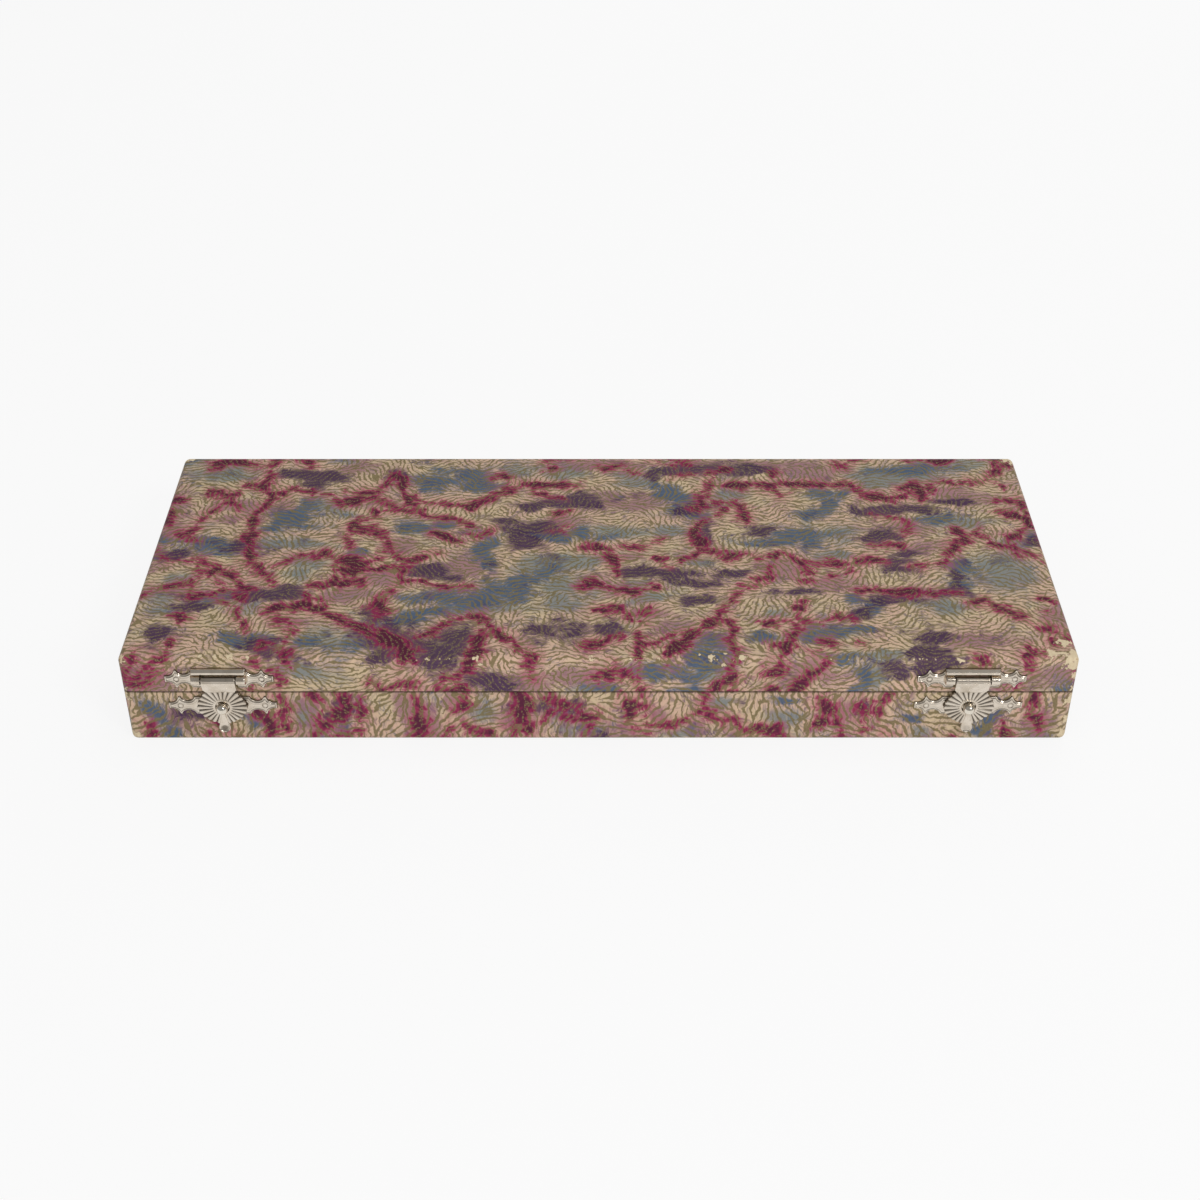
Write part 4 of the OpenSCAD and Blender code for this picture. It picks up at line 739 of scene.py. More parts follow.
def case_side(c, n, profile, up, hold):
    """One side of the case as a grid, from a profile of (inset, height) pairs.

    At the back the rim is held to the slope of its bevel, a plane through the hinge's axis that rises
    in the lid (up = 1) and falls in the base (up = -1). Also gives which quads lie over a hinge leaf,
    seen from above, and the quads' heights.
    """
    place = np.array([np.column_stack([inset(c, n, o), np.full(len(c), z)]) for o, z in profile])
    y = place[..., 1]
    slope = HINGE_AXIS[2] + up * (y - HINGE_AXIS[1]) * BEVEL
    place[..., 2] = np.where(y > HINGE_AXIS[1] - 0.01, hold(place[..., 2], slope), place[..., 2])
    middle = (place[1:, 1:] + place[:-1, :-1]) / 2
    leaf = (np.abs(np.abs(middle[..., 0]) - HINGE_X) < LEAF_HALF) & (middle[..., 1] > LEAF_FRONT)
    return place, leaf, middle[..., 2]


def profile_length(profile):
    """How far each point of a profile is from its start, along the profile."""
    steps = np.hypot(*np.diff(np.array(profile), axis=0).T)
    return np.concatenate([[0], np.cumsum(steps)])


def wear_at(place, spots, edge_z, edge_amount):
    """How worn the paper is: round spots amount e^(-1.4 (d / r)^2), and a thin line along an edge of
    the height edge_z, broken up by a slow noise. The larger of them counts."""
    wear = np.zeros(place.shape[:-1])
    for x, y, z, r, amount in spots:
        far = np.sqrt(((place - np.array([x, y, z])) ** 2).sum(-1))
        wear = np.maximum(wear, amount * np.exp(-(far / r) ** 2 * 1.4))
    out = np.minimum(WIDTH / 2 - np.abs(place[..., 0]), DEPTH / 2 - np.abs(place[..., 1]))
    on_edge = np.exp(-((place[..., 2] - edge_z) / 0.9) ** 2) * np.exp(-((out - 0.8) / 0.9) ** 2)
    patchy = 0.5 + 0.5 * value_noise(place[..., 0] / 17, place[..., 1] / 17, 3)
    return np.maximum(wear, edge_amount * on_edge * patchy)


def rim_dirt_and_shade(far):
    """Dirt and painted shade along a rim, widening the dark line of the gap between lid and base, by the
    distance far from it.
    """
    return 0.6 * (1 - smooth_step(far, 0.05, 0.6))


def arc_profile(r):
    """Quarter round from the side to a flat face: (inset, depth below the face) pairs, side first."""
    t = np.linspace(0, math.pi / 2, 9)
    return [(r - r * math.cos(v), r - r * math.sin(v)) for v in t]


# Spots where the paper is worn: place, radius and amount.
LID_WEAR = [
    (200, -78, 44, 9, 1.1), (189, -75, 44, 4.5, 0.85), (195, -68, 44, 4.5, 0.85), (-200, -79, 44, 5, 0.85),
    (-200, 79, 44, 7, 0.95), (200, 79, 44, 9, 1.0), (200, -79, 35, 4, 0.85), (47, -77.6, 44, 2.3, 0.95),
    (60, -77.6, 44, 2.6, 0.9), (-3, -77.8, 44, 2.4, 0.9), (-51, -78, 44, 2.0, 1.0), (-49, -79, 41, 1.4, 1.0),
    (52, -79, 41, 1.6, 0.95), (150, -79, 43, 2.2, 0.95), (-200, -79, 27, 4, 0.75), (200, -79, 28, 4, 0.7),
    (-166, -76.6, 44, 1.5, 0.85), (-160, -77, 44, 2.0, 0.85), (-153, -76.6, 44, 2.0, 0.85),
    (-146, -77.2, 44, 1.6, 0.85), (-189, 36, 44, 0.9, 1.0), (-186, 33.6, 44, 0.8, 1.0),
    (-183, 37.4, 44, 0.9, 1.0), (42, -76, 44, 0.9, 1.0), (53, -75.4, 44, 1.0, 1.0)]
BASE_WEAR = [
    (200, -79, 22, 5.5, 0.9), (200, -79, 11, 4.5, 0.8), (200, -79, 2, 6, 0.95), (-200, -79, 2, 6, 0.9),
    (-200, -79, 24, 4, 0.85), (200, 79, 3, 6, 0.9), (-200, 79, 3, 6, 0.9), (200, 79, 22, 5, 0.8),
    (-200, 79, 22, 5, 0.75)]


def lid_paper():
    """The lid's paper: a profile carried round the four sides, and a flat grid over the top.

    The profile starts at the wall's inside, crosses the rim, goes up the side and over the rounded
    edge. At the back, what lies under the bevel's slope is lifted to it, and the hinges' places stay open.
    """
    shell = Shell()
    profile = [(6.9, LID_Z), (DEPTH / 2 - LEAF_FRONT, LID_Z), (4.0, LID_Z), (BACK_INSET, LID_Z),
               (BACK_INSET / 2, LID_Z), (0.35, LID_Z), (0.1, LID_Z + 0.1), (0.0, LID_Z + 0.35)]
    profile += [(0.0, LID_Z + up) for up in (0.7, 1.2, 2.4, 2.72, *np.arange(4, 14.8, 1.3))]
    profile += [(o, TOP_Z - d) for o, d in arc_profile(LID_EDGE_R)]
    profile += [(CORNER_R, TOP_Z)]
    length = profile_length(profile)
    length = length[-1] - length
    dyes = scattered(5, (-230, 230, -100, 105), (-201, 201, -100, 80), LID_BLOTS, LID_VEINS)

    def worn(place):
        return wear_at(place, LID_WEAR, TOP_Z - 0.8, 0.62)

    for turn, c, n, a in sides():
        place, leaf, height = case_side(c, n, profile, 1, np.maximum)
        reach = (DEPTH if turn % 2 == 0 else WIDTH) / 2 - CORNER_R
        flat = np.stack([np.broadcast_to(a, place.shape[:2]), -(reach + length[:, None] + 0 * a)], -1)
        for _ in range(turn):
            flat = np.stack([-flat[..., 1], flat[..., 0]], -1)
        pocket = leaf & (height < LID_Z + LEAF_DEEP)
        shell.grid(place, flat, keep=~pocket, away=(0, 0, (LID_Z + TOP_Z) / 2), wear=worn(place),
                   soil=rim_dirt_and_shade(place[..., 2] - LID_Z), **dye_values(flat, *dyes))
    x, y = np.meshgrid(XS, YS, indexing="ij")
    place = np.stack([x, y, np.full_like(x, TOP_Z)], -1)
    shell.grid(place, place[..., :2], along=(0, 0, 1), wear=worn(place), **dye_values(place, *dyes))
    build("lid_paper", shell, LID_PAPER, "lid", ["lid_cover_paper"], 50)


def base_paper():
    """The base's paper: turned under the bottom, round the lower edge, up the side and over the rim."""
    shell = Shell()
    under = (corners("base_underside_sheet")[0][0] - BASE_LOW[0]) - 0.05
    profile = [(under, PAPER), (under, 0.0), (9.0, 0.0), (CORNER_R, 0.0)]
    profile += arc_profile(BASE_EDGE_R)[::-1]
    profile += [(0.0, z) for z in np.arange(3.5, RIM_Z - 3.2, 1.3)]
    profile += [(0.0, RIM_Z - down) for down in (2.8, 2.4, 1.2, 0.7, 0.35)]
    profile += [(0.1, RIM_Z - 0.1), (0.35, RIM_Z), (BACK_INSET / 2, RIM_Z), (BACK_INSET, RIM_Z), (4.0, RIM_Z),
                (DEPTH / 2 - LEAF_FRONT, RIM_Z), (7.4, RIM_Z)]
    length = profile_length(profile)
    dyes = scattered(6, (-205, 925, -15, 32), (-201, 203, -2, 32), BASE_BLOTS, BASE_VEINS)
    start = -WIDTH / 2 + CORNER_R * (1 - math.pi / 4)
    for _, c, n, a in sides():
        place, leaf, height = case_side(c, n, profile, -1, np.minimum)
        run = start + a - a[0]
        start = run[-1]
        flat = np.stack([np.broadcast_to(run, place.shape[:2]), length[:, None] - 13.4 + 0 * a], -1)
        pocket = leaf & (height > RIM_Z - LEAF_DEEP)
        shell.grid(place, flat, keep=~pocket, away=(0, 0, RIM_Z / 2), soil=rim_dirt_and_shade(RIM_Z - place[..., 2]),
                   wear=wear_at(place, BASE_WEAR, 0.6, 0.6), **dye_values(flat, *dyes))
    build("base_paper", shell, BASE_PAPER, "base", ["base_cover_paper"], 50)


# ---------------------------------------------------------------- lining

def strip_ring(name, stem, body, thick, top_round):
    """Lining strips round the inside as one band: a rounded profile carried round a rectangle.

    The profile goes up the outer side, over a half-round edge and down the inner side.
    """
    strips = [stem + side for side in ("front", "back", "left", "right")]
    low, high = corners(stem + "right")
    wide, deep = high[0], corners(stem + "back")[1][1]
    samples, far_away = 60, 500
    r = thick / 2
    t = np.linspace(0, math.pi, 9)
    up = 1 if top_round else -1
    z_foot, z_edge = (low[2], high[2]) if top_round else (high[2], low[2])
    path = [(0.0, z_foot)] + [(r - r * math.cos(v), z_edge - up * (r - r * math.sin(v))) for v in t]
    path.append((thick, z_foot))
    shell = Shell()
    for turn in range(4):
        half, reach = ((wide, deep), (deep, wide))[turn % 2]
        s = np.linspace(-1, 1, samples)
        rows = []
        for o, z in path:
            x, y = s * (half - o), np.full(samples, -(reach - o))
            for _ in range(turn):
                x, y = -y, x
            rows.append(np.stack([x, y, np.full(samples, z)], -1))
        shell.grid(np.array(rows), away=(0, 0, -up * far_away))
    build(name, shell, SATIN, body, strips, 60)


def pad_surface(low, high, crown_up, edge, wrinkle, seed):
    """A stuffed pad: the middle swells by a fourth-power crown, the sides draw in between the corners,
    and short puckers run in from the sides."""
    draw, roll_r, pucker_reach = 0.8, 2.2, 5
    u, v = (np.sin(np.linspace(-1, 1, count) * math.pi / 2) for count in (150, 60))
    u, v = np.meshgrid(u, v, indexing="ij")
    half = (high - low) / 2
    middle = (high + low) / 2
    x = middle[0] + u * (half[0] - draw * (1 - v * v))
    y = middle[1] + v * (half[1] - draw * (1 - u * u))
    thick = high[2] - low[2]
    from_side = np.minimum((1 - np.abs(u)) * half[0], (1 - np.abs(v)) * half[1])
    swell = (1 - u ** 4) * (1 - v ** 4)
    roll = np.sqrt(np.clip(1 - (1 - np.clip(from_side / roll_r, 0, 1)) ** 2, 0, 1))
    pucker = value_noise(x / 3.1, v * 2, seed) * np.exp(-(1 - np.abs(v)) * half[1] / pucker_reach)
    pucker += value_noise(y / 3.1, u * 2, seed + 1) * np.exp(-(1 - np.abs(u)) * half[0] / pucker_reach)
    slack = wrinkle * (pucker + 0.5 * value_noise(x / 14, y / 11, seed + 2)) * roll
    rise = np.clip(edge * roll + (thick - edge) * swell + slack, 0, thick)
    z = low[2] + rise if crown_up else high[2] - rise
    return np.stack([x, y, z], -1)


def pad(name, node, body, finish, crown_up, edge, wrinkle, seed):
    """A padded piece: its stuffed face, and a flat back with the same outline."""
    low, high = corners(node)
    up = 1 if crown_up else -1
    shell = Shell()
    top = pad_surface(low, high, crown_up, edge, wrinkle, seed)
    shell.grid(top, along=(0, 0, up))
    under = top.copy()
    under[..., 2] = low[2] if crown_up else high[2]
    shell.grid(under, along=(0, 0, -up))
    piece = build(name, shell, finish, body, [node], 80)


def notch(x, top, wide, deep):
    """A rack's notch at x, from right to left: a slot with a half-round floor where it is deep enough,
    or else a shallow arc through both upper ends."""
    r = wide / 2
    if deep >= r:
        angle = np.linspace(0, -math.pi, 15)
        bottom = [(x + r * math.cos(t), top - deep + r + r * math.sin(t)) for t in angle]
        return [(x + r, top)] + bottom + [(x - r, top)]
    r = (wide ** 2 / 4 + deep ** 2) / (2 * deep)
    reach = math.asin(wide / 2 / r)
    return [(x + r * math.sin(t), top - deep + r - r * math.cos(t)) for t in np.linspace(reach, -reach, 17)]


def rack(name, node, wide, deep):
    """A notched rack: the flat outline of the notches, given its thickness and a rounded edge."""
    low, high = corners(node)
    spoons, soft = 12, 1.1
    pitch = (high[0] - low[0]) / spoons
    outline = [(low[0], low[2]), (high[0], low[2]), (high[0], high[2])]
    for k in reversed(range(spoons)):
        outline += notch(low[0] + (k + 0.5) * pitch, high[2], wide, deep)
    outline.append((low[0], high[2]))
    curve = bpy.data.curves.new(name, "CURVE")
    curve.dimensions, curve.fill_mode = "2D", "BOTH"
    curve.extrude = ((high[1] - low[1]) / 2 - soft) * MM
    curve.bevel_depth, curve.bevel_resolution, curve.offset = soft * MM, 3, -soft * MM
    spline = curve.splines.new("POLY")
    spline.points.add(len(outline) - 1)
    middle = (low + high) / 2
    for point, (x, z) in zip(spline.points, outline):
        point.co = ((x - middle[0]) * MM, (z - middle[2]) * MM, 0, 1)
    spline.use_cyclic_u = True
    drawn = bpy.data.objects.new(name + "_drawn", curve)
    bpy.context.scene.collection.objects.link(drawn)
    bpy.context.view_layer.update()
    mesh = bpy.data.meshes.new_from_object(drawn.evaluated_get(bpy.context.evaluated_depsgraph_get()))
    bpy.data.objects.remove(drawn)
    co = np.zeros(len(mesh.vertices) * 3)
    mesh.vertices.foreach_get("co", co)
    co = co.reshape(-1, 3)
    upright = np.column_stack([co[:, 0], -co[:, 2], co[:, 1]]) + middle * MM
    mesh.vertices.foreach_set("co", upright.ravel())
    work = bmesh.new()
    work.from_mesh(mesh)
    bmesh.ops.remove_doubles(work, verts=work.verts, dist=MERGE)
    bmesh.ops.recalc_face_normals(work, faces=work.faces)
    work.to_mesh(mesh)
    work.free()
    mesh.name = name
    mesh.shade_smooth()
    mesh.set_sharp_from_angle(angle=math.radians(40))
    mesh.materials.clear()
    mesh.materials.append(VELVET)
    piece = bpy.data.objects.new(name, mesh)
    bpy.context.scene.collection.objects.link(piece)
    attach(piece, "base")
    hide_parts(node)


# ---------------------------------------------------------------- latches

PLATE_HALF_W, PLATE_HALF_H = 22.8, 4.6
BITES = ((14.6, 5.6, 3.2), (21.8, 4.9, 3.35))  # circles that bite the plate's edge: place, height, radius
NAIL_X = 17.8     # the nails' distance from the plate's middle
NAIL_OUT = 0.98   # how far their heads stand out
HOUSING_HALF = 11.4
SLOT_HALF = 7.6   # half the opening between the knuckles
KNUCKLE_R = 2.1
FLANGE_LOW = 3.45
FLANGE_TOP = PLATE_HALF_H + 0.8
BEHIND = FRONT_Y + 0.02  # just inside the case's front face


def hill(x, middle, width):
    """A hill 1 high: e^-((x - middle) / width)^2."""
    return np.exp(-((x - middle) / width) ** 2)


def plate_half_height(u):
    """Half the plate's height at u: a bar whose edge is bitten by two circles near each end."""
    u = np.abs(u)
    height = np.full(u.shape, PLATE_HALF_H)
    for centre, up, r in BITES:
        under = up - np.sqrt(np.clip(r * r - (u - centre) ** 2, 0, None))
        height = np.where(np.abs(u - centre) < r, np.minimum(height, under), height)
    return height


def outline_distance(u, w):
    """Distance from plate points to the plate's outline, by the nearest of many outline samples."""
    s = np.linspace(-PLATE_HALF_W, PLATE_HALF_W, 700)
    h = plate_half_height(s)
    ends = np.linspace(-1, 1, 24) * h[0]
    end_x = np.full(len(ends), PLATE_HALF_W)
    line = np.concatenate([np.stack(pair, -1) for pair in ((s, h), (s, -h), (end_x, ends), (-end_x, ends))])
    p = np.stack([u, w], -1).reshape(-1, 1, 2)
    parts = [np.sqrt(((chunk - line) ** 2).sum(-1)).min(1) for chunk in np.array_split(p, 12)]
    return np.concatenate(parts).reshape(u.shape)


def stamped_relief(u, w, edge):
    """Height of the stamped plate: a bead along the outline, a groove inside it, a raised field with a
    shallow channel, and a ringed dimple round each nail. Also gives the painted shade in the groove, the
    channel, the rings and along the outline's edge."""
    bead = hill(edge, 0.38, 0.2)
    field = smooth_step(edge, 0.72, 1.12)
    channel = hill(edge, 1.72, 0.2)
    relief = 0.6 * smooth_step(edge, 0.0, 0.12) + 0.24 * bead + 0.34 * field - 0.1 * channel * field
    nail = np.hypot(np.abs(u) - NAIL_X, w)
    ring = hill(nail, 1.1, 0.16)
    relief = relief + 0.16 * hill(nail, 1.5, 0.25) - 0.2 * ring
    rim = 1 - smooth_step(edge, 0.05, 0.16)
    # painted shade: the groove, the channel, the nail rings and the outline's edge are darkened
    recess = np.clip(0.9 * hill(edge, 0.74, 0.13) + 0.3 * channel * field + 0.8 * ring + rim, 0, 1)
    return relief, recess


def plate_grid(extra_u=(), extra_t=()):
    """u and t grids of a plate: even along it, closer together near its two long edges."""
    u = np.concatenate([np.linspace(-PLATE_HALF_W, PLATE_HALF_W, 300), extra_u])
    t = np.concatenate([np.sin(np.linspace(-1, 1, 43) * math.pi / 2), extra_t])
    return np.meshgrid(np.unique(np.round(u, 4)), np.unique(np.round(t, 5)), indexing="ij")


def skirt(shell, ring, depth_y):
    """Closes an edge of a surface: the ring of edge points is joined to its shadow on the case."""
    shadow = ring.copy()
    shadow[:, 1] = depth_y
    # painted shade: the skirt is painted fully dark, as the shadow line along the plate's edge
    shell.grid(np.stack([ring, shadow]), away=tuple(ring.mean(0) + np.array([0, 3, 0])), recess=1.0)


def keeper(side, centre_x, centre_z):
    """The keeper plate on the base: the stamped plate with no opening."""
    shell = Shell()
    u, t = plate_grid()
    w = t * plate_half_height(u)
    relief, recess = stamped_relief(u, w, outline_distance(u, w))
    place = np.stack([centre_x + u, FRONT_Y - relief, centre_z + w], -1)
    shell.grid(place, along=(0, -1, 0), recess=recess)
    edge = np.concatenate([place[:, 0], place[-1, 1:], place[::-1, -1][1:], place[0, ::-1][1:]])
    skirt(shell, edge, BEHIND)
    name = "keeper_plate_" + side
    build(name, shell, NICKEL, "base", [name], 70)


def housing_relief(u, w, axis_w, axis_out):
    """Height of the lid plate's middle: a barrel of a knuckle, round about the hasp's axis and at its
    outer end, and the flange above it, which bends outwards and thins towards its top."""
    beyond = np.clip(np.abs(u) - (HOUSING_HALF - 0.9), 0, None)
    ball = np.sqrt(np.clip(KNUCKLE_R ** 2 - (w - axis_w) ** 2 - beyond ** 2 * 0.8, 0, None))
    knuckle = np.where(ball > 0, (axis_out - 0.35) * smooth_step(ball, 0.0, 1.2) + ball, 0)
    fade = smooth_step(HOUSING_HALF + 0.9 - np.abs(u), 0.0, 1.1)
    lip = smooth_step(w, FLANGE_LOW - 1.1, FLANGE_LOW - 0.1)
    lip = lip * (1 - np.clip((w - FLANGE_TOP + 0.95) / 0.85, 0, 1) * 0.52)
    lip = lip * smooth_step(FLANGE_TOP - w, -0.01, 0.1)
    flange = 2.3 * lip * (1 - smooth_step(np.abs(u), HOUSING_HALF - 0.6, HOUSING_HALF + 1.0))
    return knuckle * fade, flange


def lid_plate(side, centre_x, centre_z, axis):
    """The latch plate on the lid. In the middle it rises over two knuckles, one on each side of the
    hasp's opening, and carries a bent flange along its top."""
    shell = Shell()
    breaks = np.array([SLOT_HALF, HOUSING_HALF, HOUSING_HALF + 0.02, *np.linspace(8, 11.3, 8)])
    u, t = plate_grid(extra_u=[*breaks, *-breaks], extra_t=[
        FLANGE_LOW / FLANGE_TOP, *np.linspace(0.55, 0.98, 16), *np.linspace(-0.6, 0.55, 28)])
    inside = np.abs(u) <= HOUSING_HALF
    w = np.where(inside & (t > 0), t * FLANGE_TOP, t * plate_half_height(u))
    relief, recess = stamped_relief(u, w, outline_distance(u, np.clip(w, -PLATE_HALF_H, PLATE_HALF_H)))
    knuckle, flange = housing_relief(u, w, axis[2] - centre_z, FRONT_Y - axis[1])
    low_field = np.where(inside & (w > PLATE_HALF_H - 0.8), 0.2, 1.0)
    relief = np.maximum(np.maximum(relief * low_field, knuckle), flange)
    place = np.stack([centre_x + u, FRONT_Y - relief, centre_z + w], -1)
    um, wm = (u[1:, 1:] + u[:-1, :-1]) / 2, (w[1:, 1:] + w[:-1, :-1]) / 2
    opening = (np.abs(um) < SLOT_HALF) & (wm < FLANGE_LOW)
    # the knuckles and the flange get no painted shade
    recess = np.where(knuckle + flange > 0.6, 0.0, recess)
    shell.grid(place, keep=~opening, along=(0, -1, 0), recess=recess)
    across = u[:, 0]
    out = np.abs(across) >= SLOT_HALF - 1e-6
    low_side = place[:, 0]
    left_foot, right_foot = low_side[out & (across < 0)], low_side[out & (across > 0)]
    for part in (left_foot, right_foot, place[:, -1], place[0], place[-1]):
        skirt(shell, part, BEHIND)
    for s in (-1, 1):
        i = np.argmin(np.abs(across - s * SLOT_HALF))
        skirt(shell, place[i][w[i] <= FLANGE_LOW + 1e-6], BEHIND)
    j = np.argmin(np.abs(t[0] * FLANGE_TOP - FLANGE_LOW))
    skirt(shell, place[:, j][np.abs(across) <= SLOT_HALF + 1e-6], FRONT_Y - 1.6)
    build("latch_plate_" + side, shell, NICKEL, "lid", ["lid_latch_plate_" + side], 55)


RAYS = 24
FAN_HALF_W, FAN_UP, FAN_DOWN = 10.7, 11.93, 8.9
FAN_OUT = 2.4     # how far the fan's sheet stands in front of the case
FAN_RISE = 0.28   # how far the relief's foot lies behind that
HOLE_R = 3.0
NECK_LOW = 8.4    # the neck's foot, above the hole's middle
BITE_R = 1.4      # the concave bites at the neck's foot
BARREL_R, BARREL_HALF = 1.75, 7.1
WAIST = BARREL_HALF * 0.88
SHEET = 0.7
FACE = FRONT_Y - FAN_OUT


def fan_reach(a):
    """Reach of the fan's edge at the angle a: a rounded rhombus |x|^p + |y|^p = 1 whose edge bulges at
    each ray, cut level a little above the neck's foot."""
    rise = np.where(np.sin(a) > 0, FAN_UP, FAN_DOWN)
    p = 1.65
    rhombus = (np.abs(np.cos(a) / FAN_HALF_W) ** p + np.abs(np.sin(a) / rise) ** p) ** (-1 / p)
    rhombus = rhombus * (1 - 0.04 * (1 - np.abs(np.cos(RAYS * a / 2))))
    return np.minimum(rhombus, (NECK_LOW + 0.5) / np.maximum(np.sin(a), 1e-3))


def close_sides(shell, front, behind):
    """Joins a strip's front to its back along its left and its right edge."""
    for k, out in ((0, -1), (-1, 1)):
        shell.grid(np.stack([front[:, k], behind[:, k]]), along=(out, 0, 0))


def hasp_fan(shell, centre_x, hole_z):
    """The fan on a polar grid: rays of the height |cos(12 a)|^0.7, which start a little outside the
    hole, a collar round the hole, and an edge that turns down."""
    a = np.linspace(0, 2 * math.pi, RAYS * 12 + 1)
    s = np.array([0, 0.02, 0.06, 0.12, 0.2, 0.3, 0.4, 0.5, 0.6, 0.7, 0.8, 0.88, 0.94, 0.975, 1.0])
    a, s = np.meshgrid(a, s, indexing="ij")
    reach = fan_reach(a)
    r = HOLE_R + s * (reach - HOLE_R)
    ray = np.abs(np.cos(RAYS * a / 2)) ** 0.7
    start = smooth_step(r, HOLE_R + 0.6, HOLE_R + 1.6)
    groove = (1 - ray) * start * (0.5 + 0.5 * s)
    collar = np.exp(-((r - HOLE_R - 0.35) / 0.3) ** 2)
    rim = smooth_step(reach - r, 0.0, 0.22)
    relief = 0.5 * ray * start * (0.55 + 0.45 * s) + 0.2 * collar - 0.25 * (1 - rim)
    place = np.stack([centre_x + r * np.cos(a), FACE + FAN_RISE - relief, hole_z + r * np.sin(a)], -1)
    # painted shade: the grooves between the rays are darkened, and the back and the edge strips are painted
    # dark too
    shell.grid(place, along=(0, -1, 0), recess=np.clip(groove * 1.5, 0, 1))
    back = place.copy()
    back[..., 1] = FACE + SHEET
    shell.grid(back, along=(0, 1, 0), recess=0.4)
    for k, facing in ((0, {"along": (0, 0, 1)}), (-1, {"away": (centre_x, FACE, hole_z)})):
        shell.grid(np.stack([place[:, k], back[:, k]]), recess=0.8, **facing)


def hasp_neck(shell, centre_x, hole_z, axis):
    """The plain neck: its side view, which bends back to the barrel, is carried across its width, which
    concave bites narrow at the foot."""
    out = axis[1] - BARREL_R
    bend = axis[2] - hole_z - 0.1
    up = np.concatenate([NECK_LOW + np.linspace(-1, 0.1, 5), np.linspace(NECK_LOW + 0.2, bend - 0.2, 18),
                         [bend - 0.08, bend]])
    bite = BITE_R - np.sqrt(np.clip(BITE_R ** 2 - (up - NECK_LOW) ** 2, 0, None))
    half = np.where(up < NECK_LOW, WAIST, np.minimum(WAIST + bite, BARREL_HALF - 0.05))
    side_view = np.array([
        (NECK_LOW - 1, FACE + 0.6), (NECK_LOW - 0.3, FACE + 0.1), (NECK_LOW + 0.2, FACE - 0.12),
        (bend - 0.9, out - 0.04), (bend - 0.2, out - 0.08), (bend - 0.08, out - 0.03), (bend, out + 0.15)])
    depth = np.interp(up, *side_view.T)
    across = np.sin(np.linspace(-1, 1, 31) * math.pi / 2)
    front = np.stack([centre_x + half[:, None] * across, depth[:, None] + 0.06 * np.abs(across) ** 8,
                      (hole_z + up)[:, None] + 0 * across], -1)
    shell.grid(front, along=(0, -1, 0))
    behind = front.copy()
    behind[..., 1] += 0.6
    shell.grid(behind, along=(0, 1, 0))
    close_sides(shell, front, behind)


def hasp_barrel(shell, centre_x, axis):
    """The rolled barrel: a cylinder with the seam of its rolled edge, and ends that are open in the
    middle."""
    turn = np.linspace(0, 2 * math.pi, 49)
    length = np.concatenate([[-BARREL_HALF, -BARREL_HALF + 0.12], np.linspace(-6.4, 6.4, 12),
                             [BARREL_HALF - 0.12, BARREL_HALF]])
    radius = BARREL_R - np.where(np.abs(length) > BARREL_HALF - 0.05, 0.12, 0.0)
    seam_deep = 0.16
    seam = seam_deep * hill(turn, 4.2, 0.12)
    radius = radius[:, None] - seam[None, :]
    barrel = np.stack([centre_x + length[:, None] + 0 * turn, axis[1] - radius * np.cos(turn),
                       axis[2] + radius * np.sin(turn)], -1)
    # painted shade: the whole barrel is painted a little darker, the seam and the open ends darker still
    soil = np.broadcast_to(0.3 + 0.7 * seam / seam_deep, barrel.shape[:2])
    shell.grid(barrel, away=(centre_x, axis[1], axis[2]), recess=soil)
    bore = 0.36  # of the radius
    for k, out in ((0, -1), (-1, 1)):
        inner = barrel[k].copy()
        inner[:, 1:] = axis[1:] + (inner[:, 1:] - axis[1:]) * bore
        shell.grid(np.stack([barrel[k], inner]), along=(out, 0, 0), recess=0.8)


def finger_tab(shell, centre_x, hole_z, stamped):
    """The tab like a spoon on the fan's lower half: v runs down it and q across it. A bead follows its
    sides and its tip, and the bowl inside is dished. stamped says how deep all this is."""
    v = np.linspace(0, 1, 34)
    z = hole_z - 2.6 - v * 9.75
    half = np.interp(v, [0, 0.2, 0.4, 0.56, 0.7, 0.82, 0.9, 0.96, 1.0],
                     [0.8, 0.95, 1.35, 1.95, 2.4, 2.42, 2.0, 1.3, 0.3])
    lift = np.interp(v, [0, 0.12, 0.5, 0.64, 1.0], [0.35, 0.36, 0.34, 0.4, 1.3])
    q = np.sin(np.linspace(-1, 1, 19) * math.pi / 2)
    bead = 0.42 * hill(np.abs(q), 0.86, 0.12) * smooth_step(v, 0.45, 0.68)[:, None]
    tip = 0.42 * hill(v, 0.955, 0.03)[:, None]
    bowl = 0.3 * (1 - q ** 2) * smooth_step(v, 0.62, 0.8)[:, None]
    dish = stamped * (np.maximum(bead, tip * np.ones_like(q)) - bowl)
    pit = np.clip(1.6 * (1 - (q / 0.76) ** 2 - (((v - 0.79) / 0.145) ** 2)[:, None]), 0, 1)
    y = FACE - lift[:, None] - dish + 0.15 * np.abs(q) ** 10
    tab = np.stack([centre_x + half[:, None] * q, y, z[:, None] + 0 * q], -1)
    # painted shade: darker in the dished bowl and on the back
    shell.grid(tab, along=(0, -1, 0), recess=0.8 * stamped * pit)
    back = tab.copy()
    back[..., 1] = (FACE - lift + 0.55)[:, None]
    shell.grid(back, along=(0, 1, 0), recess=0.3)
    close_sides(shell, tab, back)
    shell.grid(np.stack([tab[-1], back[-1]]), along=(0, 0, -1))


def hasp(side, hole_z, axis):
    """The hasp: a rayed fan with a round hole, a plain neck rolled into a barrel, and a finger tab. The
    right one's tab is stamped less deeply."""
    shell = Shell()
    hasp_fan(shell, axis[0], hole_z)
    hasp_neck(shell, axis[0], hole_z, axis)
    hasp_barrel(shell, axis[0], axis)
    finger_tab(shell, axis[0], hole_z, 1.0 if side == "left" else 0.3)
    node = "hasp_" + side
    build(node + "_stamped", shell, NICKEL, node, [node], 50)


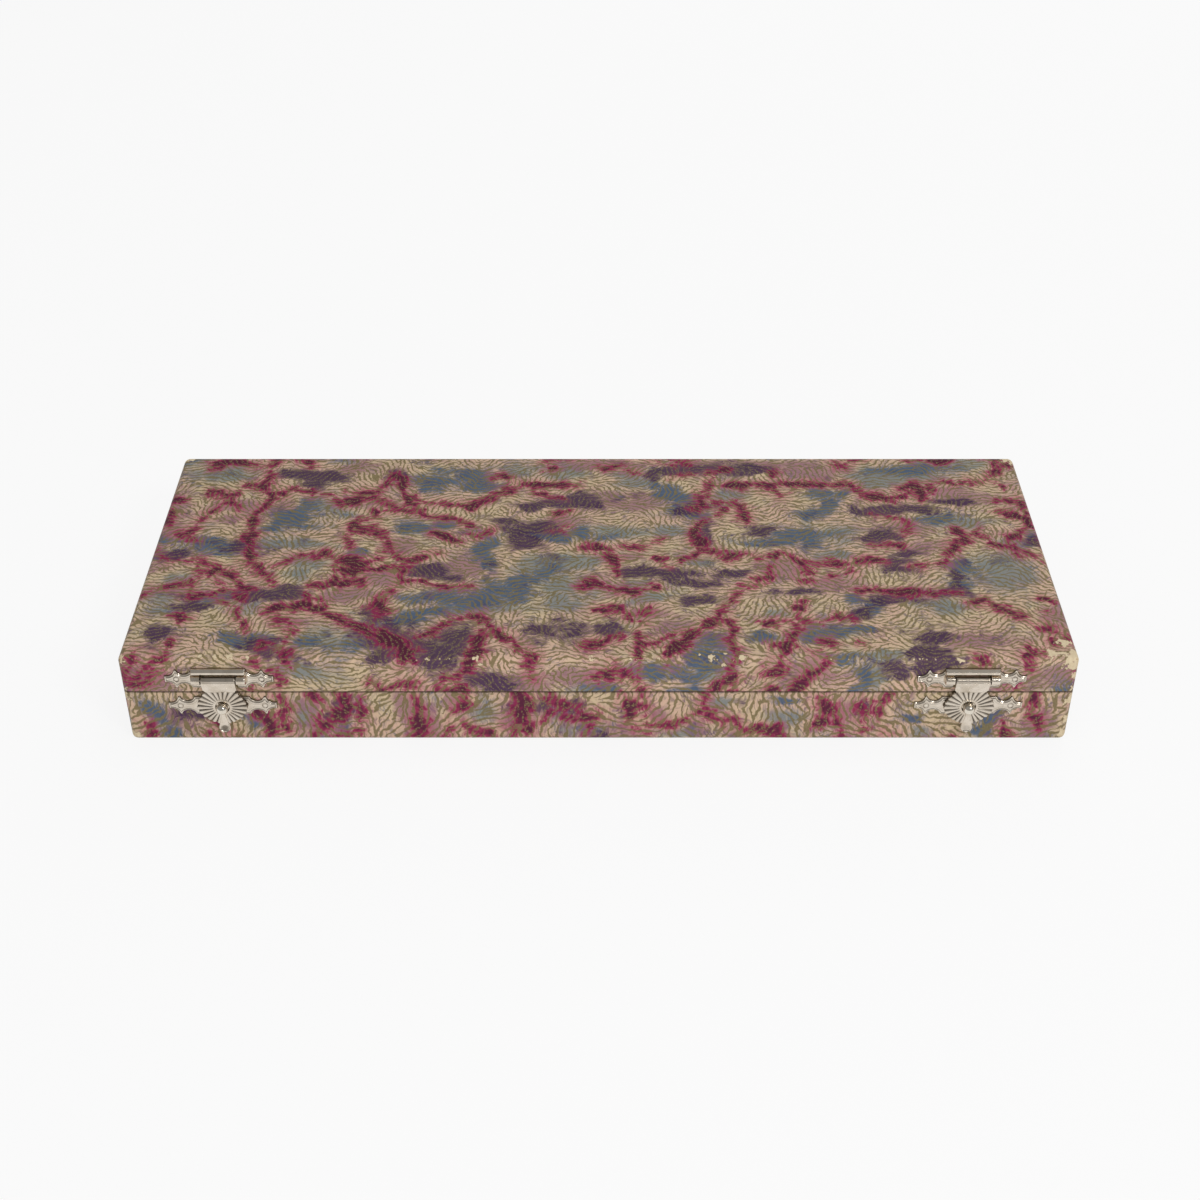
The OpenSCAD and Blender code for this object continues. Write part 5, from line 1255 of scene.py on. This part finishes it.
def round_piece(shell, centre, profile, turns):
    """A turned shape about an axis that points to the front: profile holds (radius, distance out)."""
    a = np.linspace(0, 2 * math.pi, turns + 1)
    x, y, z = centre
    rows = [np.stack([x + r * np.cos(a), np.full(len(a), y - out), z + r * np.sin(a)], -1)
            for r, out in profile]
    shell.grid(np.array(rows), away=(x, y - np.mean([out for _, out in profile]), z))


def shank(r, out):
    """The end of a turned profile: a shank of the radius r, from out down into the wall."""
    deep = -4.9
    return [(r, out), (r, deep), (0.001, deep)]


def ball_stud(side):
    """The ball on the keeper: a sphere, flattened where it sits on the plate, with its shank."""
    node = "ball_stud_" + side
    low, high = corners(node)
    r = (high[0] - low[0]) / 2
    out = FRONT_Y - low[1] - r
    centre = ((low[0] + high[0]) / 2, FRONT_Y, (low[2] + high[2]) / 2)
    t = np.linspace(0, math.pi - math.acos((out - 0.9) / r), 28)
    profile = [(r * math.sin(v) + 1e-4, out + r * math.cos(v)) for v in t]
    shell = Shell()
    round_piece(shell, centre, profile + shank(1.2, 0.88), 40)
    build("ball_" + side, shell, BRIGHT, "base", [node], 35)


def latch_nails(name, node, body, plates):
    """Small round-headed nails at both ends of the plates."""
    shell = Shell()
    t = np.linspace(0, math.pi / 2, 8)
    profile = [(0.82 * math.sin(v) + 1e-4, NAIL_OUT - 0.45 + 0.5 * math.cos(v)) for v in t]
    for x, z in plates:
        for end in (-NAIL_X, NAIL_X):
            round_piece(shell, (x + end, FRONT_Y, z), profile + shank(0.55, NAIL_OUT - 0.56), 24)
    build(name, shell, BRIGHT, body, [node], 35)


# ---------------------------------------------------------------- putting it together

lid_paper()
base_paper()

strip_ring("collar_band", "collar_", "base", 1.5, True)
strip_ring("lid_strip_band", "lid_strip_", "lid", 0.85, False)
for place, seed in (("front", 11), ("middle", 12), ("back", 13)):
    pad("velvet_floor_" + place, "floor_pad_" + place, "base", VELVET, True,
        edge=1.2, wrinkle=0.16, seed=seed)
pad("satin_lid_pad", "lid_pad", "lid", SATIN, False, edge=1.9, wrinkle=0.45, seed=21)
rack("velvet_handle_rack", "handle_rack", 10.0, 8.0)
rack("velvet_bowl_rack", "bowl_rack", 22.0, 8.0)

keeper_z = (corners("keeper_plate_left")[0][2] + corners("keeper_plate_left")[1][2]) / 2
plate_z = corners("lid_latch_plate_left")[0][2] + PLATE_HALF_H
axes = {side: joint_place(f"hasp_{side}_swing") for side in ("left", "right")}
for side, axis in axes.items():
    keeper(side, axis[0], keeper_z)
    lid_plate(side, axis[0], plate_z, axis)
    hasp(side, keeper_z, axis)
    ball_stud(side)
latch_nails("keeper_nail_heads", "keeper_nails", "base", [(axis[0], keeper_z) for axis in axes.values()])
latch_nails("lid_plate_nail_heads", "lid_latch_nails", "lid", [(axis[0], plate_z) for axis in axes.values()])

for name, node in nodes.items():
    if name.endswith(("_board", "_wall")):
        finish = WOOD
    elif name == "base_underside_sheet":
        finish = UNDER
    elif "hinge" in name:
        finish = HINGE_METAL
    elif name.startswith("hasp_pin"):
        finish = BRIGHT
    else:
        continue
    for slot in node.material_slots:
        slot.material = finish


# ---------------------------------------------------------------- stage

def floor():
    """A wide pale floor. It shows almost white to the camera and in reflections, and keeps a soft shadow."""
    reach, down = 6, -0.0002
    mesh = bpy.data.meshes.new("floor")
    mesh.from_pydata([(x * reach, y * reach, down) for x, y in ((-1, -1), (1, -1), (1, 1), (-1, 1))], [],
                     [(0, 1, 2, 3)])
    made = bpy.data.materials.new("floor_white")
    made.use_nodes = True
    g = Graph(made.node_tree)
    out = made.node_tree.nodes["Material Output"]
    made.node_tree.nodes.remove(made.node_tree.nodes["Principled BSDF"])
    light = g.node("ShaderNodeLightPath").outputs
    seen = g.math("MAXIMUM", light["Is Glossy Ray"], light["Is Transmission Ray"])
    seen = g.math("MAXIMUM", light["Is Camera Ray"], seen)
    matt = g.node("ShaderNodeBsdfDiffuse", {"Color": (0.8, 0.8, 0.8, 1)})
    glow = g.node("ShaderNodeEmission", {"Color": WHITE, "Strength": 1.0})
    mix = g.node("ShaderNodeMixShader", {0: g.math("MULTIPLY", seen, 0.87), 1: matt.outputs[0],
                 2: glow.outputs[0]})
    g.feed(out.inputs["Surface"], mix.outputs[0])
    mesh.materials.append(made)
    piece = bpy.data.objects.new("floor", mesh)
    bpy.context.scene.collection.objects.link(piece)


def lamp(name, place, aim, size, power, mirrored):
    """A round lamp, in metres and watts, turned to a point. mirrored says whether reflections show it."""
    data = bpy.data.lights.new(name, "AREA")
    data.shape, data.size, data.energy = "DISK", size, power
    made = bpy.data.objects.new(name, data)
    bpy.context.scene.collection.objects.link(made)
    made.location = place
    made.visible_glossy = mirrored
    direction = np.array(aim) - np.array(place)
    pitch = math.atan2(math.hypot(direction[0], direction[1]), -direction[2])
    made.rotation_euler = (pitch, 0, math.atan2(-direction[0], direction[1]))


def studio():
    """A world of plain white light. It is brighter where the camera sees it than where it lights."""
    seen, mirrored, lighting = 1.0, 0.30, 0.345
    world = bpy.data.worlds.new("studio")
    bpy.context.scene.world = world
    world.use_nodes = True
    g = Graph(world.node_tree)
    light = g.node("ShaderNodeLightPath").outputs
    shown = g.math("MAXIMUM", light["Is Camera Ray"], light["Is Transmission Ray"])
    background = world.node_tree.nodes["Background"]
    background.inputs["Color"].default_value = WHITE
    dimmed = g.math("MULTIPLY_ADD", light["Is Glossy Ray"], mirrored - lighting, lighting)
    g.feed(background.inputs["Strength"], g.math("MULTIPLY_ADD", shown, seen - lighting, dimmed))


floor()
lamp("key_lamp", (-0.5, -1.7, 1.2), (0, 0, 0), 1.3, 6.5, False)
lamp("front_lamp", (0.3, -1.6, 0.3), (0, -0.08, 0.03), 0.3, 3.6, False)
lamp("top_lamp", (0.2, 0.3, 1.7), (0, 0, 0), 1.2, 5.8, False)
lamp("back_lamp", (0.5, 1.6, 0.7), (0, 0, 0), 1.2, 5, False)
lamp("spark_lamp", (0.9, -1.2, 1.3), (0, 0, 0), 0.55, 9, True)
studio()

# the lens, place and pitch are solved from the photograph's perspective
camera = bpy.data.cameras.new("camera")
camera.lens, camera.sensor_width, camera.clip_start = 55.3, 36.0, 0.01
eye = bpy.data.objects.new("camera", camera)
bpy.context.scene.collection.objects.link(eye)
eye.location = (0.0006, -0.6799, 0.5166)
down = 0.63443  # radians below the level
eye.rotation_euler = (math.pi / 2 - down, 0, 0)
bpy.context.scene.camera = eye
bpy.context.scene.view_settings.view_transform = "Standard"

bpy.context.view_layer.update()
